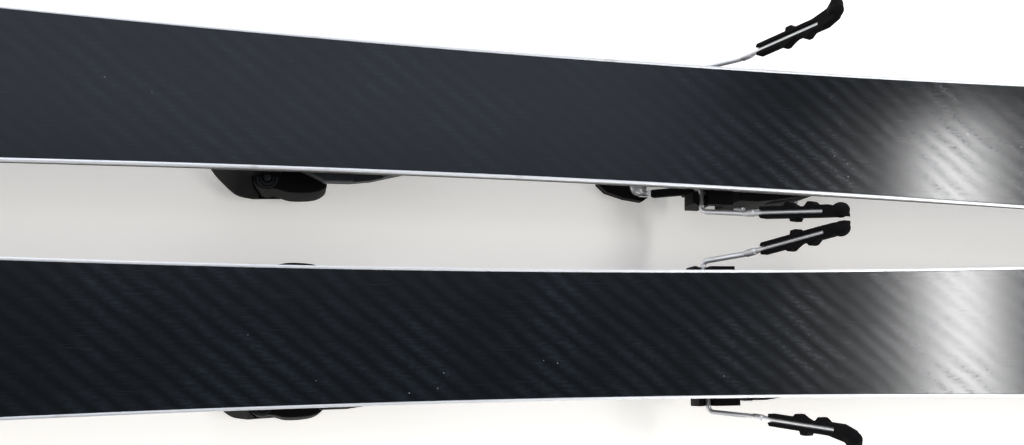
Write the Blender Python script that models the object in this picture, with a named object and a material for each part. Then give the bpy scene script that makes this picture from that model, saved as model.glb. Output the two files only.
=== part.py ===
"""A pair of alpine skis with release bindings and ski brakes, lying base up.

Each ski is modelled in its own frame: +X towards the tail, +Z out of the base, the origin on the base
plane under the middle of the boot. An empty places each ski's frame in the pair.
"""

import math

import bmesh
import bpy
from mathutils import Matrix, Vector

# Gap left between two pieces that touch, and between a pin and its hole
CLEARANCE = 0.0003

# How the two skis lie
PAIR_SPACING = 0.1501
PAIR_CONVERGENCE = math.radians(1.66)
TOE_HEIGHT = 0.074

# Ski outline, as distances from the middle of the boot and full widths
TIP_REACH = 0.930
TAIL_REACH = 0.780
WAIST_WIDTH = 0.088
WAIST_SETBACK = 0.0763
SIDECUT_RADIUS = 13.75
SHOVEL_REACH = 0.735
SHOVEL_BLEND = 0.075
TAIL_FLARE_REACH = 0.690
TAIL_FLARE_BLEND = 0.060
TAIL_END_WIDTH = 0.066
TIP_FULLNESS = 2.4
TIP_ROUNDNESS = 0.70
TAIL_FULLNESS = 2.6
TAIL_ROUNDNESS = 0.60

# Ski side view
CAMBER = 0.0036
CAMBER_REACH = 0.650
TIP_CONTACT_REACH = 0.600
TIP_RISE = 0.068
TAIL_CONTACT_REACH = 0.660
TAIL_RISE = 0.014
SKI_THICKNESS = 0.014
END_THICKNESS = 0.0052
PLATFORM_REACH = 0.270

# Ski layers
BASE_SHEET_THICKNESS = 0.0013
EDGE_WIDTH = 0.0020
EDGE_HEIGHT = 0.0020
SIDEWALL_WIDTH = 0.0050
SIDEWALL_LEAN = 0.0010
TOPSHEET_THICKNESS = 0.0010
TAIL_GUARD_LENGTH = 0.012
BODY_STATIONS = 24
END_STATIONS = 9
SLOPE_STEP = 1e-5

# Boot that the binding holds
BOOT_SOLE_LENGTH = 0.315
BOOT_SOLE_HEIGHT = 0.026
BOOT_TOE_LUG_HEIGHT = 0.025
BOOT_HEEL_LUG_HEIGHT = 0.029

# Mounting plates
PLATE_THICKNESS = 0.012
TOE_PLATE_FRONT = -0.212
TOE_PLATE_BACK = -0.064
TOE_PLATE_WIDTH = 0.076
TOE_PLATE_CORNER = 0.026
SCREW_HOLE_RADIUS = 0.0028
SCREW_HEAD_RADIUS = 0.0050
SCREW_HEAD_DEPTH = 0.0030

# Toe piece
TOE_FRONT = -0.202
TOE_NOSE_WIDTH = 0.068
TOE_WIDTH = 0.1080
TOE_FULL_WIDTH_AT = -0.172
TOE_BACK = -0.1525
TOE_CROWN_HEIGHT = 0.008
TOE_CROWN_INSET = 0.0050
TOE_BACK_TUCK = 0.0010
TOE_NOSE_FLAT_SHARE = 0.55
# Points of the toe housing's side, as shares of its taper's length and of its growth in width
TOE_SIDE_CURVE = ((0.0, 0.0), (0.12, 0.23), (0.28, 0.47), (0.52, 0.79), (0.70, 0.93), (1.0, 1.0))
# The toe housing narrows towards the ski: heights above the floor and shares of its full width
TOE_LEVELS = ((0.0160, 1.0), (0.0390, 0.78))
TOE_TOP_SHARE = 0.70
WING_PIVOT_X = -0.162
WING_PIVOT_Y = 0.0432
WING_HUB_RADIUS = 0.0101
WING_PIN_RADIUS = 0.0030
WING_THICKNESS = 0.026
WING_FLOOR_DISTANCE = 0.0115
WING_TIP_X = -0.121
WING_WIDTH_REACH = 0.0552
WING_TOP_SHARE = 0.78
WING_HUB_START = math.radians(250.0)
WING_HUB_END = math.radians(65.0)
WING_POCKET_END = math.radians(125.0)
# Points round the wing from its hub, as shares of its length and depths inside its widest place
WING_CURVE = ((0.20, 0.0020), (0.38, 0.0), (0.66, 0.0003), (0.84, 0.0018), (0.955, 0.0048),
              (1.0, 0.0080), (0.955, 0.0112), (0.75, 0.0160), (0.45, 0.0200))
TOE_BARREL_RADIUS = 0.0100
TOE_BARREL_FLOOR_DISTANCE = 0.0240
TOE_SCREW_LENGTH = 0.014
TOE_SCREW_PROUD = 0.003
TOE_SPRING_LENGTH = 0.020
PISTON_HEAD_LENGTH = 0.0030
PISTON_STEM_RADIUS = 0.0028
PISTON_STEM_LENGTH = 0.014
SPRING_WALL = 0.0040
SCREW_CROSS_LENGTH = 0.0120
SCREW_CROSS_WIDTH = 0.0025
SCREW_CROSS_DEPTH = 0.0025

# Anti-friction plate
AFD_FRONT = -0.1400
AFD_BACK = -0.066
AFD_FRONT_WIDTH = 0.095
AFD_BACK_WIDTH = 0.078
AFD_NOSE_WIDTH = 0.080
AFD_NOSE_LENGTH = 0.0140
AFD_CORNER = 0.0030
# Points of the plate's side, as shares of its length and of its loss in width
AFD_SIDE_CURVE = ((0.22, 0.0), (0.45, 0.04), (0.65, 0.27))
AFD_RAIL_LENGTH = 0.060
AFD_RAIL_FRONT = -0.104
AFD_RAIL_BACK = -0.084
AFD_RAIL_HEIGHT = 0.004

# Heel track and carriage
HEEL_TRACK_FRONT = 0.104
HEEL_TRACK_BACK = 0.262
HEEL_TRACK_WIDTH = 0.072
HEEL_RAIL_WIDTH = 0.048
HEEL_RAIL_HEIGHT = 0.008
CARRIAGE_FRONT = 0.130
CARRIAGE_BACK = 0.246
CARRIAGE_THICKNESS = 0.0050
CARRIAGE_FLANGE = 0.0060

# Heel piece
HEEL_HOUSING_FRONT = 0.178
HEEL_HOUSING_BACK = 0.250
HEEL_HOUSING_WIDTH = 0.066
HEEL_SHOULDER_WIDTH = 0.093
# The heel housing narrows towards the tail: places along the ski and half widths
HEEL_SIDE_CURVE = ((0.192, 0.0465), (0.205, 0.0448), (0.222, 0.0420), (0.238, 0.0392), (0.250, 0.0340))
HEEL_CHEEK_THICKNESS = 0.0070
HEEL_BACK_SLOPE = 0.016
HEEL_FRONT_CHAMFER = 0.006
HEEL_ROOF_THICKNESS = 0.0030
HEEL_BARREL_RADIUS = 0.0105
HEEL_SCREW_LENGTH = 0.016
HEEL_SCREW_PROUD = 0.004
HEEL_SPRING_LENGTH = 0.034
HEEL_BARREL_WALL = 0.0030
CUP_PIVOT_X = 0.192
CUP_PIVOT_DEPTH = 0.0665
CUP_PIN_RADIUS = 0.0030
CUP_WIDTH = 0.076
CUP_JAW_THICKNESS = 0.0100
CUP_BACK_THICKNESS = 0.0080
CUP_JAW_OVERLAP = 0.012
CUP_JAW_SLOPE = 0.004
CUP_WALL_BELOW_SOLE = 0.006
CUP_TONGUE_OVERLAP = 0.002
CUP_HUB_RADIUS = 0.0066
LEVER_PIVOT_X = 0.240
LEVER_PIVOT_DEPTH = 0.076
LEVER_PIN_RADIUS = 0.0030
LEVER_BACK = 0.268
LEVER_WIDTH = 0.040
LEVER_THICKNESS = 0.0060
LEVER_HUB_RADIUS = 0.0054
LEVER_LIP = 0.0040

# Ski brake, in the deployed position
BRAKE_PIVOT_X = 0.1518
BRAKE_PIVOT_DEPTH = 0.0415
BRAKE_WIRE_RADIUS = 0.0020
BRAKE_WIRE_BEND = 0.0040
BRAKE_LEG_Y = 0.0372
BRAKE_STUB_END_Y = 0.0160
BRAKE_STUB_X = 0.1160
BRAKE_STUB_DEPTH = 0.0760
BRAKE_CORNER_Y = 0.0544
BRAKE_KINK = Vector((0.1754, 0.0576, -0.0213))
BRAKE_WIRE_TIP = Vector((0.2052, 0.0651, 0.0478))
BRAKE_BASE_FRONT = 0.130
BRAKE_BASE_BACK = 0.1725
BRAKE_CHEEK_FRONT = 0.1415
BRAKE_CHEEK_BACK = 0.1575
BRAKE_CHEEK_BOTTOM_DEPTH = 0.0660
BRAKE_CHEEK_SHOULDER_DEPTH = 0.0480
BRAKE_CHEEK_LEAN = 0.0060

# Brake pads
PAD_START = 0.0190
PAD_END = 0.0940
PAD_WIDTH = 0.0085
PAD_THICKNESS = 0.0070
PAD_SLOT_WIDTH = 0.0034
PAD_LUG = 0.0026
PAD_CORNER = 0.0015
PAD_HOOK_START = 0.70
# Lugs on the pad's two sides, as shares of its length and of a lug's height
PAD_OUTER_LUGS = ((0.375, 0.0), (0.39, 1.0), (0.455, 1.0), (0.475, 0.0))
PAD_INNER_LUGS = ((0.67, 0.0), (0.62, 1.0), (0.58, 1.0), (0.54, -0.31), (0.46, -0.31), (0.40, 0.38),
                  (0.36, 1.0), (0.32, 1.0), (0.29, 0.0))
# The pad's hooked tip, as shares of its length, of its half width and of the hook's reach
PAD_HOOK_CURVE = ((0.88, 1.0, 0.30), (0.932, 1.0, 0.72), (0.9405, 1.0, 0.94), (0.9876, 1.0, 0.90),
                  (1.0, 1.0, 0.55), (0.9963, 0.40, 0.25), (0.944, -0.55, 0.14), (0.82, -1.0, 0.0))
OUTER_HOOK_REACH = 0.0088
INNER_HOOK_REACH = -0.0008

# Brake pedal
PEDAL_FRONT = 0.0815
PEDAL_BACK = 0.1285
PEDAL_WIDTH = 0.0870
PEDAL_FRONT_WIDTH = 0.064
PEDAL_THICKNESS = 0.0090
PEDAL_NOTCH_MARGIN = 0.0010
PEDAL_BACK_CORNER = 0.0090
# Points of the pedal's side, as shares of its length and of its growth in width
PEDAL_SIDE_CURVE = ((0.0, 0.0), (0.14, 0.50), (0.45, 0.85), (0.74, 1.0))

# Round pieces and rounded corners
ROUND_SIDES = 24
SMALL_ROUND_SIDES = 16
WIRE_SIDES = 10
WIRE_BEND_STEPS = 4
CORNER_STEPS = 4
POCKET_STEPS = 6
HUB_STEPS = 8
CURVE_STEPS = 3
CORNER_RADIUS = 0.0012
CORNER_SEGMENTS = 2
CORNER_ANGLE = math.radians(40.0)
SHADING_ANGLE = math.radians(30.0)
CUT_MARGIN = 0.004
MERGE_DISTANCE = 1e-6

# Heights in the ski's frame, worked out from the sizes above
TOPSHEET_Z = -SKI_THICKNESS
PLATE_TOP_Z = TOPSHEET_Z - CLEARANCE
PLATE_BOTTOM_Z = PLATE_TOP_Z - PLATE_THICKNESS
FLOOR_Z = TOPSHEET_Z - TOE_HEIGHT
SOLE_Z = TOPSHEET_Z - BOOT_SOLE_HEIGHT
TOE_LUG_Z = SOLE_Z - BOOT_TOE_LUG_HEIGHT
HEEL_LUG_Z = SOLE_Z - BOOT_HEEL_LUG_HEIGHT
BOOT_TOE_X = -BOOT_SOLE_LENGTH / 2
BOOT_HEEL_X = BOOT_SOLE_LENGTH / 2
CARRIAGE_TOP_Z = PLATE_BOTTOM_Z - CLEARANCE
CARRIAGE_BOTTOM_Z = CARRIAGE_TOP_Z - CARRIAGE_THICKNESS


def clear_scene():
    for item in list(bpy.data.objects):
        bpy.data.objects.remove(item, do_unlink=True)


def material(name, colour, roughness, metallic=0.0):
    found = bpy.data.materials.get(name)
    if found:
        return found
    made = bpy.data.materials.new(name)
    made.use_nodes = True
    shader = made.node_tree.nodes["Principled BSDF"]
    shader.inputs["Base Color"].default_value = (*colour, 1.0)
    shader.inputs["Roughness"].default_value = roughness
    shader.inputs["Metallic"].default_value = metallic
    return made


def finishes():
    return {
        "base": material("running_base", (0.012, 0.014, 0.018), 0.35),
        "steel": material("edge_steel", (0.80, 0.80, 0.82), 0.25, 1.0),
        "sidewall": material("sidewall_plastic", (0.30, 0.30, 0.31), 0.45),
        "wood": material("core_wood", (0.55, 0.38, 0.20), 0.60),
        "topsheet": material("topsheet_film", (0.04, 0.04, 0.045), 0.30),
        "black": material("black_plastic", (0.010, 0.010, 0.011), 0.42),
        "grey": material("grey_plastic", (0.05, 0.05, 0.055), 0.45),
        "chrome": material("chromed_wire", (0.82, 0.82, 0.84), 0.08, 1.0),
        "zinc": material("zinc_steel", (0.55, 0.55, 0.57), 0.35, 1.0),
    }


# Mesh helpers


def mesh_object(name, mesh, finish, parent, origin=(0.0, 0.0, 0.0)):
    """An object whose mesh was built in the ski's frame, with its own origin at the given point."""
    origin = Vector(origin)
    mesh.transform(Matrix.Translation(-origin))
    mesh.materials.append(finish)
    made = bpy.data.objects.new(name, mesh)
    bpy.context.scene.collection.objects.link(made)
    made.parent = parent
    made.location = origin
    mesh.shade_smooth()
    mesh.set_sharp_from_angle(angle=SHADING_ANGLE)
    return made


def finished_mesh(name, builder):
    bmesh.ops.remove_doubles(builder, verts=builder.verts, dist=MERGE_DISTANCE)
    bmesh.ops.recalc_face_normals(builder, faces=builder.faces)
    mesh = bpy.data.meshes.new(name)
    builder.to_mesh(mesh)
    builder.free()
    return mesh


def loft(name, sections):
    """A closed solid through rings of equally many points, with flat end caps."""
    builder = bmesh.new()
    rings = [[builder.verts.new(point) for point in section] for section in sections]
    count = len(rings[0])
    for near, far in zip(rings, rings[1:]):
        for index in range(count):
            following = (index + 1) % count
            builder.faces.new((near[index], near[following], far[following], far[index]))
    builder.faces.new(rings[0])
    builder.faces.new(list(reversed(rings[-1])))
    return finished_mesh(name, builder)


def prism(name, outline, low, high, axis="Z"):
    """A solid with a flat outline, drawn in the plane across its axis and extruded along it."""
    place = {
        "X": lambda a, b, level: (level, a, b),
        "Y": lambda a, b, level: (a, level, b),
        "Z": lambda a, b, level: (a, b, level),
    }[axis]
    return loft(name, [[place(a, b, level) for a, b in outline] for level in (low, high)])


def box(name, x_span, y_span, z_span):
    (left, right), (near, far) = x_span, y_span
    return prism(name, [(left, near), (right, near), (right, far), (left, far)], *z_span)


def circle(centre, radius, sides, start=0.0):
    angles = [start + 2 * math.pi * step / sides for step in range(sides)]
    return [(centre[0] + radius * math.cos(a), centre[1] + radius * math.sin(a)) for a in angles]


def smooth_run(points, steps):
    """Points on a smooth curve through the given ones, the first and the last kept."""
    ends = [points[0], *points, points[-1]]
    run = []
    for before, start, end, after in zip(ends, ends[1:], ends[2:], ends[3:]):
        for t in (step / steps for step in range(steps)):
            run.append(tuple((2 * b + (c - a) * t + (2 * a - 5 * b + 4 * c - d) * t**2
                              + (3 * b - a - 3 * c + d) * t**3) / 2
                             for a, b, c, d in zip(before, start, end, after)))
    return run + [points[-1]]


def arc(centre, radius, start, end, steps):
    angles = [start + (end - start) * step / steps for step in range(steps + 1)]
    return [(centre[0] + radius * math.cos(a), centre[1] + radius * math.sin(a)) for a in angles]


def mirrored(outline):
    """A half outline, listed from one end of the centre line to the other, with its mirror image."""
    return list(outline) + [(x, -y) for x, y in reversed(outline)]


def flipped(mesh, side):
    """The mesh as built for the +Y side, or its mirror image for the -Y side."""
    if side < 0:
        mesh.transform(Matrix.Scale(-1.0, 4, Vector((0.0, 1.0, 0.0))))
        mesh.flip_normals()
    return mesh


def cut(piece, meshes):
    for mesh in meshes:
        combine(piece, mesh, "DIFFERENCE")


def fuse(piece, meshes):
    for mesh in meshes:
        combine(piece, mesh, "UNION")


def combine(piece, mesh, operation):
    """A Boolean on the piece with a solid that was built in the ski's frame."""
    tool_name = f"{piece.name}_{operation.lower()}_{len(piece.modifiers)}"
    mesh.transform(Matrix.Translation(-piece.location))
    tool = bpy.data.objects.new(tool_name, mesh)
    bpy.context.scene.collection.objects.link(tool)
    tool.parent = piece.parent
    tool.location = piece.location
    tool.display_type = "WIRE"
    tool.hide_render = True
    modifier = piece.modifiers.new(operation.title(), "BOOLEAN")
    modifier.operation = operation
    modifier.object = tool
    modifier.solver = "EXACT"


def soften(piece):
    modifier = piece.modifiers.new("Rounded corners", "BEVEL")
    modifier.width = CORNER_RADIUS
    modifier.segments = CORNER_SEGMENTS
    modifier.limit_method = "ANGLE"
    modifier.angle_limit = CORNER_ANGLE
    modifier.harden_normals = False


def rod(name, centre, radius, low, high, axis, sides=ROUND_SIDES):
    return prism(name, circle(centre, radius, sides, math.pi / sides), low, high, axis)


def sleeve(name, centre, outer, inner, low, high, sides=ROUND_SIDES):
    """A tube along X."""
    rings = []
    for radius, level in ((inner, low), (outer, low), (outer, high), (inner, high)):
        rings.append([(level, y, z) for y, z in circle(centre, radius, sides, math.pi / sides)])
    builder = bmesh.new()
    made = [[builder.verts.new(point) for point in ring] for ring in rings]
    for near, far in zip(made, made[1:] + made[:1]):
        for index in range(sides):
            following = (index + 1) % sides
            builder.faces.new((near[index], near[following], far[following], far[index]))
    return finished_mesh(name, builder)


# Ski shape


def sidecut_half_width(x):
    return WAIST_WIDTH / 2 + (x - WAIST_SETBACK) ** 2 / (2 * SIDECUT_RADIUS)


def flare_half_width(x, start, blend):
    """The sidecut carried on past its end, with its slope falling evenly to nothing over the blend."""
    run = min(abs(x - start), blend)
    slope = abs(start - WAIST_SETBACK) / SIDECUT_RADIUS
    return sidecut_half_width(start) + slope * (run - run**2 / (2 * blend))


def half_width(x):
    """Half the ski's width at a place along it."""
    shovel_start = -SHOVEL_REACH + SHOVEL_BLEND
    tail_start = TAIL_FLARE_REACH - TAIL_FLARE_BLEND
    if x < -SHOVEL_REACH:
        share = min((-SHOVEL_REACH - x) / (TIP_REACH - SHOVEL_REACH), 1.0)
        widest = flare_half_width(-SHOVEL_REACH, shovel_start, SHOVEL_BLEND)
        return widest * (1 - share**TIP_FULLNESS) ** TIP_ROUNDNESS
    if x < shovel_start:
        return flare_half_width(x, shovel_start, SHOVEL_BLEND)
    if x < tail_start:
        return sidecut_half_width(x)
    if x < TAIL_FLARE_REACH:
        return flare_half_width(x, tail_start, TAIL_FLARE_BLEND)
    share = min((x - TAIL_FLARE_REACH) / (TAIL_REACH - TAIL_FLARE_REACH), 1.0)
    widest = flare_half_width(TAIL_FLARE_REACH, tail_start, TAIL_FLARE_BLEND)
    end = TAIL_END_WIDTH / 2
    return end + (widest - end) * (1 - share**TAIL_FULLNESS) ** TAIL_ROUNDNESS


def base_height(x):
    """Height of the running base above the base plane under the boot."""
    height = CAMBER * ((x - WAIST_SETBACK) / CAMBER_REACH) ** 2
    if x < -TIP_CONTACT_REACH:
        height -= TIP_RISE * ((-TIP_CONTACT_REACH - x) / (TIP_REACH - TIP_CONTACT_REACH)) ** 2
    if x > TAIL_CONTACT_REACH:
        height -= TAIL_RISE * ((x - TAIL_CONTACT_REACH) / (TAIL_REACH - TAIL_CONTACT_REACH)) ** 2
    return height


def thickness(x):
    """Full under the binding, thinner towards both ends."""
    reach = TIP_REACH if x < 0 else TAIL_REACH
    share = max(abs(x) - PLATFORM_REACH, 0.0) / (reach - PLATFORM_REACH)
    return SKI_THICKNESS - (SKI_THICKNESS - END_THICKNESS) * math.sin(share * math.pi / 2)


def stations(back_end):
    """Places along the ski from its tail to its tip, closer together where the outline turns."""
    quarter = math.pi / 2
    tail_span = back_end - TAIL_FLARE_REACH
    tail = [TAIL_FLARE_REACH + tail_span * math.sin(quarter * step / END_STATIONS)
            for step in range(END_STATIONS, 0, -1)]
    span = TAIL_FLARE_REACH + SHOVEL_REACH
    body = [TAIL_FLARE_REACH - span * step / BODY_STATIONS for step in range(BODY_STATIONS)]
    tip_span = TIP_REACH - SHOVEL_REACH
    tip = [-SHOVEL_REACH - tip_span * math.sin(quarter * step / END_STATIONS)
           for step in range(END_STATIONS + 1)]
    return tail + body + tip


def outline_point(x, inset):
    """The +Y side of the outline at a place along the ski, moved in square to the outline."""
    if x <= -TIP_REACH:
        return (-TIP_REACH + inset, 0.0)
    slope = (half_width(x + SLOPE_STEP) - half_width(x - SLOPE_STEP)) / (2 * SLOPE_STEP)
    if x > 0:
        return (x, half_width(x) - inset * math.hypot(1.0, slope))
    length = math.hypot(1.0, slope)
    return (x + inset * slope / length, half_width(x) - inset / length)


def layer_sections(inset, upper, lower):
    """Sections of a layer across the whole ski between two depths below the base."""
    sections = []
    for x in stations(TAIL_REACH - TAIL_GUARD_LENGTH):
        side_x, side_y = outline_point(x, inset)
        side_y = max(side_y, CLEARANCE)
        top_z = base_height(side_x) - upper(x)
        low_z = base_height(side_x) - lower(x)
        sections.append([(side_x, side_y, top_z), (side_x, side_y, low_z),
                         (side_x, -side_y, low_z), (side_x, -side_y, top_z)])
    return sections


def band_sections(outer, inner, upper, lower, outer_lean=0.0):
    """Sections of a layer that follows the +Y side of the outline, round to the middle of the tip."""
    sections = []
    for x in stations(TAIL_REACH - TAIL_GUARD_LENGTH):
        section = []
        for inset, depth in ((outer, upper), (inner, upper), (inner, lower), (outer + outer_lean, lower)):
            px, py = outline_point(x, inset)
            section.append((px, max(py, CLEARANCE / 2), base_height(px) - depth(x)))
        sections.append(section)
    return sections


def build_ski_body(ski, prefix, look):
    sidewall_top = EDGE_HEIGHT + CLEARANCE
    core_top = BASE_SHEET_THICKNESS + CLEARANCE
    laminate_bottom = TOPSHEET_THICKNESS + CLEARANCE

    sheet = layer_sections(EDGE_WIDTH + CLEARANCE, lambda x: 0.0, lambda x: BASE_SHEET_THICKNESS)
    mesh_object(f"{prefix}_base_sheet", loft("base_sheet", sheet), look["base"], ski)

    core = layer_sections(SIDEWALL_WIDTH + CLEARANCE, lambda x: core_top,
                          lambda x: thickness(x) - laminate_bottom)
    mesh_object(f"{prefix}_core", loft("core", core), look["wood"], ski)

    film = layer_sections(SIDEWALL_LEAN, lambda x: thickness(x) - TOPSHEET_THICKNESS, thickness)
    mesh_object(f"{prefix}_topsheet", loft("topsheet", film), look["topsheet"], ski)

    for side, label in ski_sides(ski):
        edge = band_sections(0.0, EDGE_WIDTH, lambda x: 0.0, lambda x: EDGE_HEIGHT)
        steel = flipped(loft("edge", edge), side)
        mesh_object(f"{prefix}_edge_{label}", steel, look["steel"], ski)
        wall = band_sections(CLEARANCE, SIDEWALL_WIDTH, lambda x: sidewall_top,
                             lambda x: thickness(x) - laminate_bottom, SIDEWALL_LEAN)
        plastic = flipped(loft("sidewall", wall), side)
        mesh_object(f"{prefix}_sidewall_{label}", plastic, look["sidewall"], ski)

    start = TAIL_REACH - TAIL_GUARD_LENGTH + CLEARANCE
    guard = []
    for step in range(END_STATIONS):
        x = start + (TAIL_REACH - start) * math.sin(math.pi / 2 * step / (END_STATIONS - 1))
        y = half_width(x)
        top_z = base_height(x)
        low_z = top_z - thickness(x)
        guard.append([(x, y, top_z), (x, y, low_z), (x, -y, low_z), (x, -y, top_z)])
    mesh_object(f"{prefix}_tail_protector", loft("tail_protector", guard), look["black"], ski)


def ski_sides(ski):
    """The two sides of a ski, each with its name within the pair."""
    outward = ski["outward"]
    return ((1, "outer" if outward > 0 else "inner"), (-1, "inner" if outward > 0 else "outer"))


# Toe piece


def screw_holes(places, bottom_z):
    """Countersunk through holes in a plate whose free face is at the given height."""
    start = bottom_z - CUT_MARGIN
    bores = ((SCREW_HOLE_RADIUS, PLATE_TOP_Z + CUT_MARGIN), (SCREW_HEAD_RADIUS, bottom_z + SCREW_HEAD_DEPTH))
    return [rod("screw_bore", place, radius, start, end, "Z", SMALL_ROUND_SIDES)
            for place in places for radius, end in bores]


def build_toe_plate(ski, prefix, look):
    half = TOE_PLATE_WIDTH / 2
    corner = (TOE_PLATE_FRONT + TOE_PLATE_CORNER, half - TOE_PLATE_CORNER)
    nose = arc(corner, TOE_PLATE_CORNER, math.pi, math.pi / 2, CORNER_STEPS)
    outline = mirrored(nose + [(TOE_PLATE_BACK, half)])
    plate = prism("toe_plate", outline, PLATE_BOTTOM_Z, PLATE_TOP_Z)
    piece = mesh_object(f"{prefix}_toe_baseplate", plate, look["black"], ski)
    rail = box("rail", (AFD_RAIL_FRONT, AFD_RAIL_BACK), (-AFD_RAIL_LENGTH / 2, AFD_RAIL_LENGTH / 2),
               (PLATE_BOTTOM_Z - AFD_RAIL_HEIGHT, PLATE_BOTTOM_Z + CORNER_RADIUS))
    fuse(piece, [rail])
    screw_y = half - 2 * SCREW_HEAD_RADIUS
    rows = (AFD_BACK - 2 * SCREW_HEAD_RADIUS, (AFD_FRONT + TOE_BACK) / 2)
    cut(piece, screw_holes([(x, y) for x in rows for y in (-screw_y, screw_y)], PLATE_BOTTOM_Z))


def wing_levels():
    low = FLOOR_Z + WING_FLOOR_DISTANCE
    return low, low + WING_THICKNESS


def wing_outline():
    """The +Y wing seen square to the ski: a hub, a bulged outer side and a hooked rear tip."""
    hub = arc((WING_PIVOT_X, WING_PIVOT_Y), WING_HUB_RADIUS, WING_HUB_START, WING_HUB_END, HUB_STEPS)
    length = WING_TIP_X - WING_PIVOT_X
    curve = [(WING_PIVOT_X + share * length, WING_WIDTH_REACH - depth) for share, depth in WING_CURVE]
    return hub + smooth_run(curve, CURVE_STEPS)


def wing_shape():
    """The +Y wing; its outer side leans in towards the ski as the housing's does."""
    low, high = wing_levels()
    outline = wing_outline()
    leaning = [(x, min(y, WING_PIVOT_Y + (y - WING_PIVOT_Y) * WING_TOP_SHARE)) for x, y in outline]
    return loft("toe_wing", [[(x, y, low) for x, y in outline], [(x, y, high) for x, y in leaning]])


def build_toe_housing(ski, prefix, look):
    nose = TOE_NOSE_WIDTH / 2
    full = TOE_WIDTH / 2
    depth = TOE_FULL_WIDTH_AT - TOE_FRONT
    side_curve = smooth_run([(TOE_FRONT + along * depth, nose + growth * (full - nose))
                             for along, growth in TOE_SIDE_CURVE], CURVE_STEPS)
    outline = mirrored([(TOE_FRONT, nose * TOE_NOSE_FLAT_SHARE), *side_curve,
                        (TOE_BACK, full - TOE_BACK_TUCK)])
    top_z = PLATE_BOTTOM_Z - CLEARANCE
    middle_x = (TOE_FRONT + TOE_BACK) / 2
    long_share = 1 - TOE_CROWN_INSET / (TOE_BACK - middle_x)
    wide_share = 1 - TOE_CROWN_INSET / full
    crowned = [(middle_x + (x - middle_x) * long_share, y * wide_share) for x, y in outline]
    sections = [[(x, y * TOE_TOP_SHARE, top_z) for x, y in outline]]
    sections += [[(x, y * share, FLOOR_Z + height) for x, y in outline]
                 for height, share in reversed(TOE_LEVELS)]
    sections += [[(x, y, FLOOR_Z + TOE_CROWN_HEIGHT) for x, y in outline],
                 [(x, y, FLOOR_Z) for x, y in crowned]]
    piece = mesh_object(f"{prefix}_toe_housing", loft("toe_housing", sections), look["black"], ski)

    low, high = wing_levels()
    toe_stop = BOOT_TOE_X - CLEARANCE
    inner_y = WING_PIVOT_Y - WING_HUB_RADIUS - 2 * CLEARANCE
    tools = []
    for side in (-1, 1):
        pocket_round = arc((WING_PIVOT_X, side * WING_PIVOT_Y), WING_HUB_RADIUS + CLEARANCE,
                           math.pi, math.pi - side * (math.pi - WING_POCKET_END), POCKET_STEPS)
        far_y = side * (full + CUT_MARGIN)
        pocket = pocket_round + [(pocket_round[-1][0], far_y), (TOE_BACK + CUT_MARGIN, far_y),
                                 (TOE_BACK + CUT_MARGIN, side * inner_y),
                                 (WING_PIVOT_X - WING_HUB_RADIUS - CLEARANCE, side * inner_y)]
        tools.append(prism("wing_pocket", pocket, low - CLEARANCE, high + CLEARANCE))
    mouth_half = inner_y + CLEARANCE
    tools.append(box("boot_mouth", (toe_stop, TOE_BACK + CUT_MARGIN), (-mouth_half, mouth_half),
                     (TOE_LUG_Z, SOLE_Z)))
    tools.append(rod("barrel", (0.0, barrel_z()), TOE_BARREL_RADIUS, TOE_FRONT - CUT_MARGIN,
                     piston_end() + CLEARANCE, "X"))
    cut(piece, tools)
    pins = [rod("wing_pin", (WING_PIVOT_X, side * WING_PIVOT_Y), WING_PIN_RADIUS, low - 2 * CORNER_RADIUS,
                high + 2 * CORNER_RADIUS, "Z", SMALL_ROUND_SIDES) for side in (-1, 1)]
    fuse(piece, pins)


def barrel_z():
    return FLOOR_Z + TOE_BARREL_FLOOR_DISTANCE


def toe_screw_end():
    return TOE_FRONT + TOE_SCREW_LENGTH


def toe_spring_end():
    return toe_screw_end() + CLEARANCE + TOE_SPRING_LENGTH


def piston_end():
    return toe_spring_end() + CLEARANCE + PISTON_HEAD_LENGTH


def slotted_screw(name, centre, radius, low, high, slot_at_low):
    """A screw along X with a cross slot in the end that a driver reaches."""
    body = rod(name, centre, radius, low, high, "X")
    long_half = SCREW_CROSS_LENGTH / 2
    thin_half = SCREW_CROSS_WIDTH / 2
    if slot_at_low:
        span = (low - CUT_MARGIN, low + SCREW_CROSS_DEPTH)
    else:
        span = (high - SCREW_CROSS_DEPTH, high + CUT_MARGIN)
    cross = [box("slot", span, (centre[0] - a, centre[0] + a), (centre[1] - b, centre[1] + b))
             for a, b in ((long_half, thin_half), (thin_half, long_half))]
    return body, cross


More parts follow.
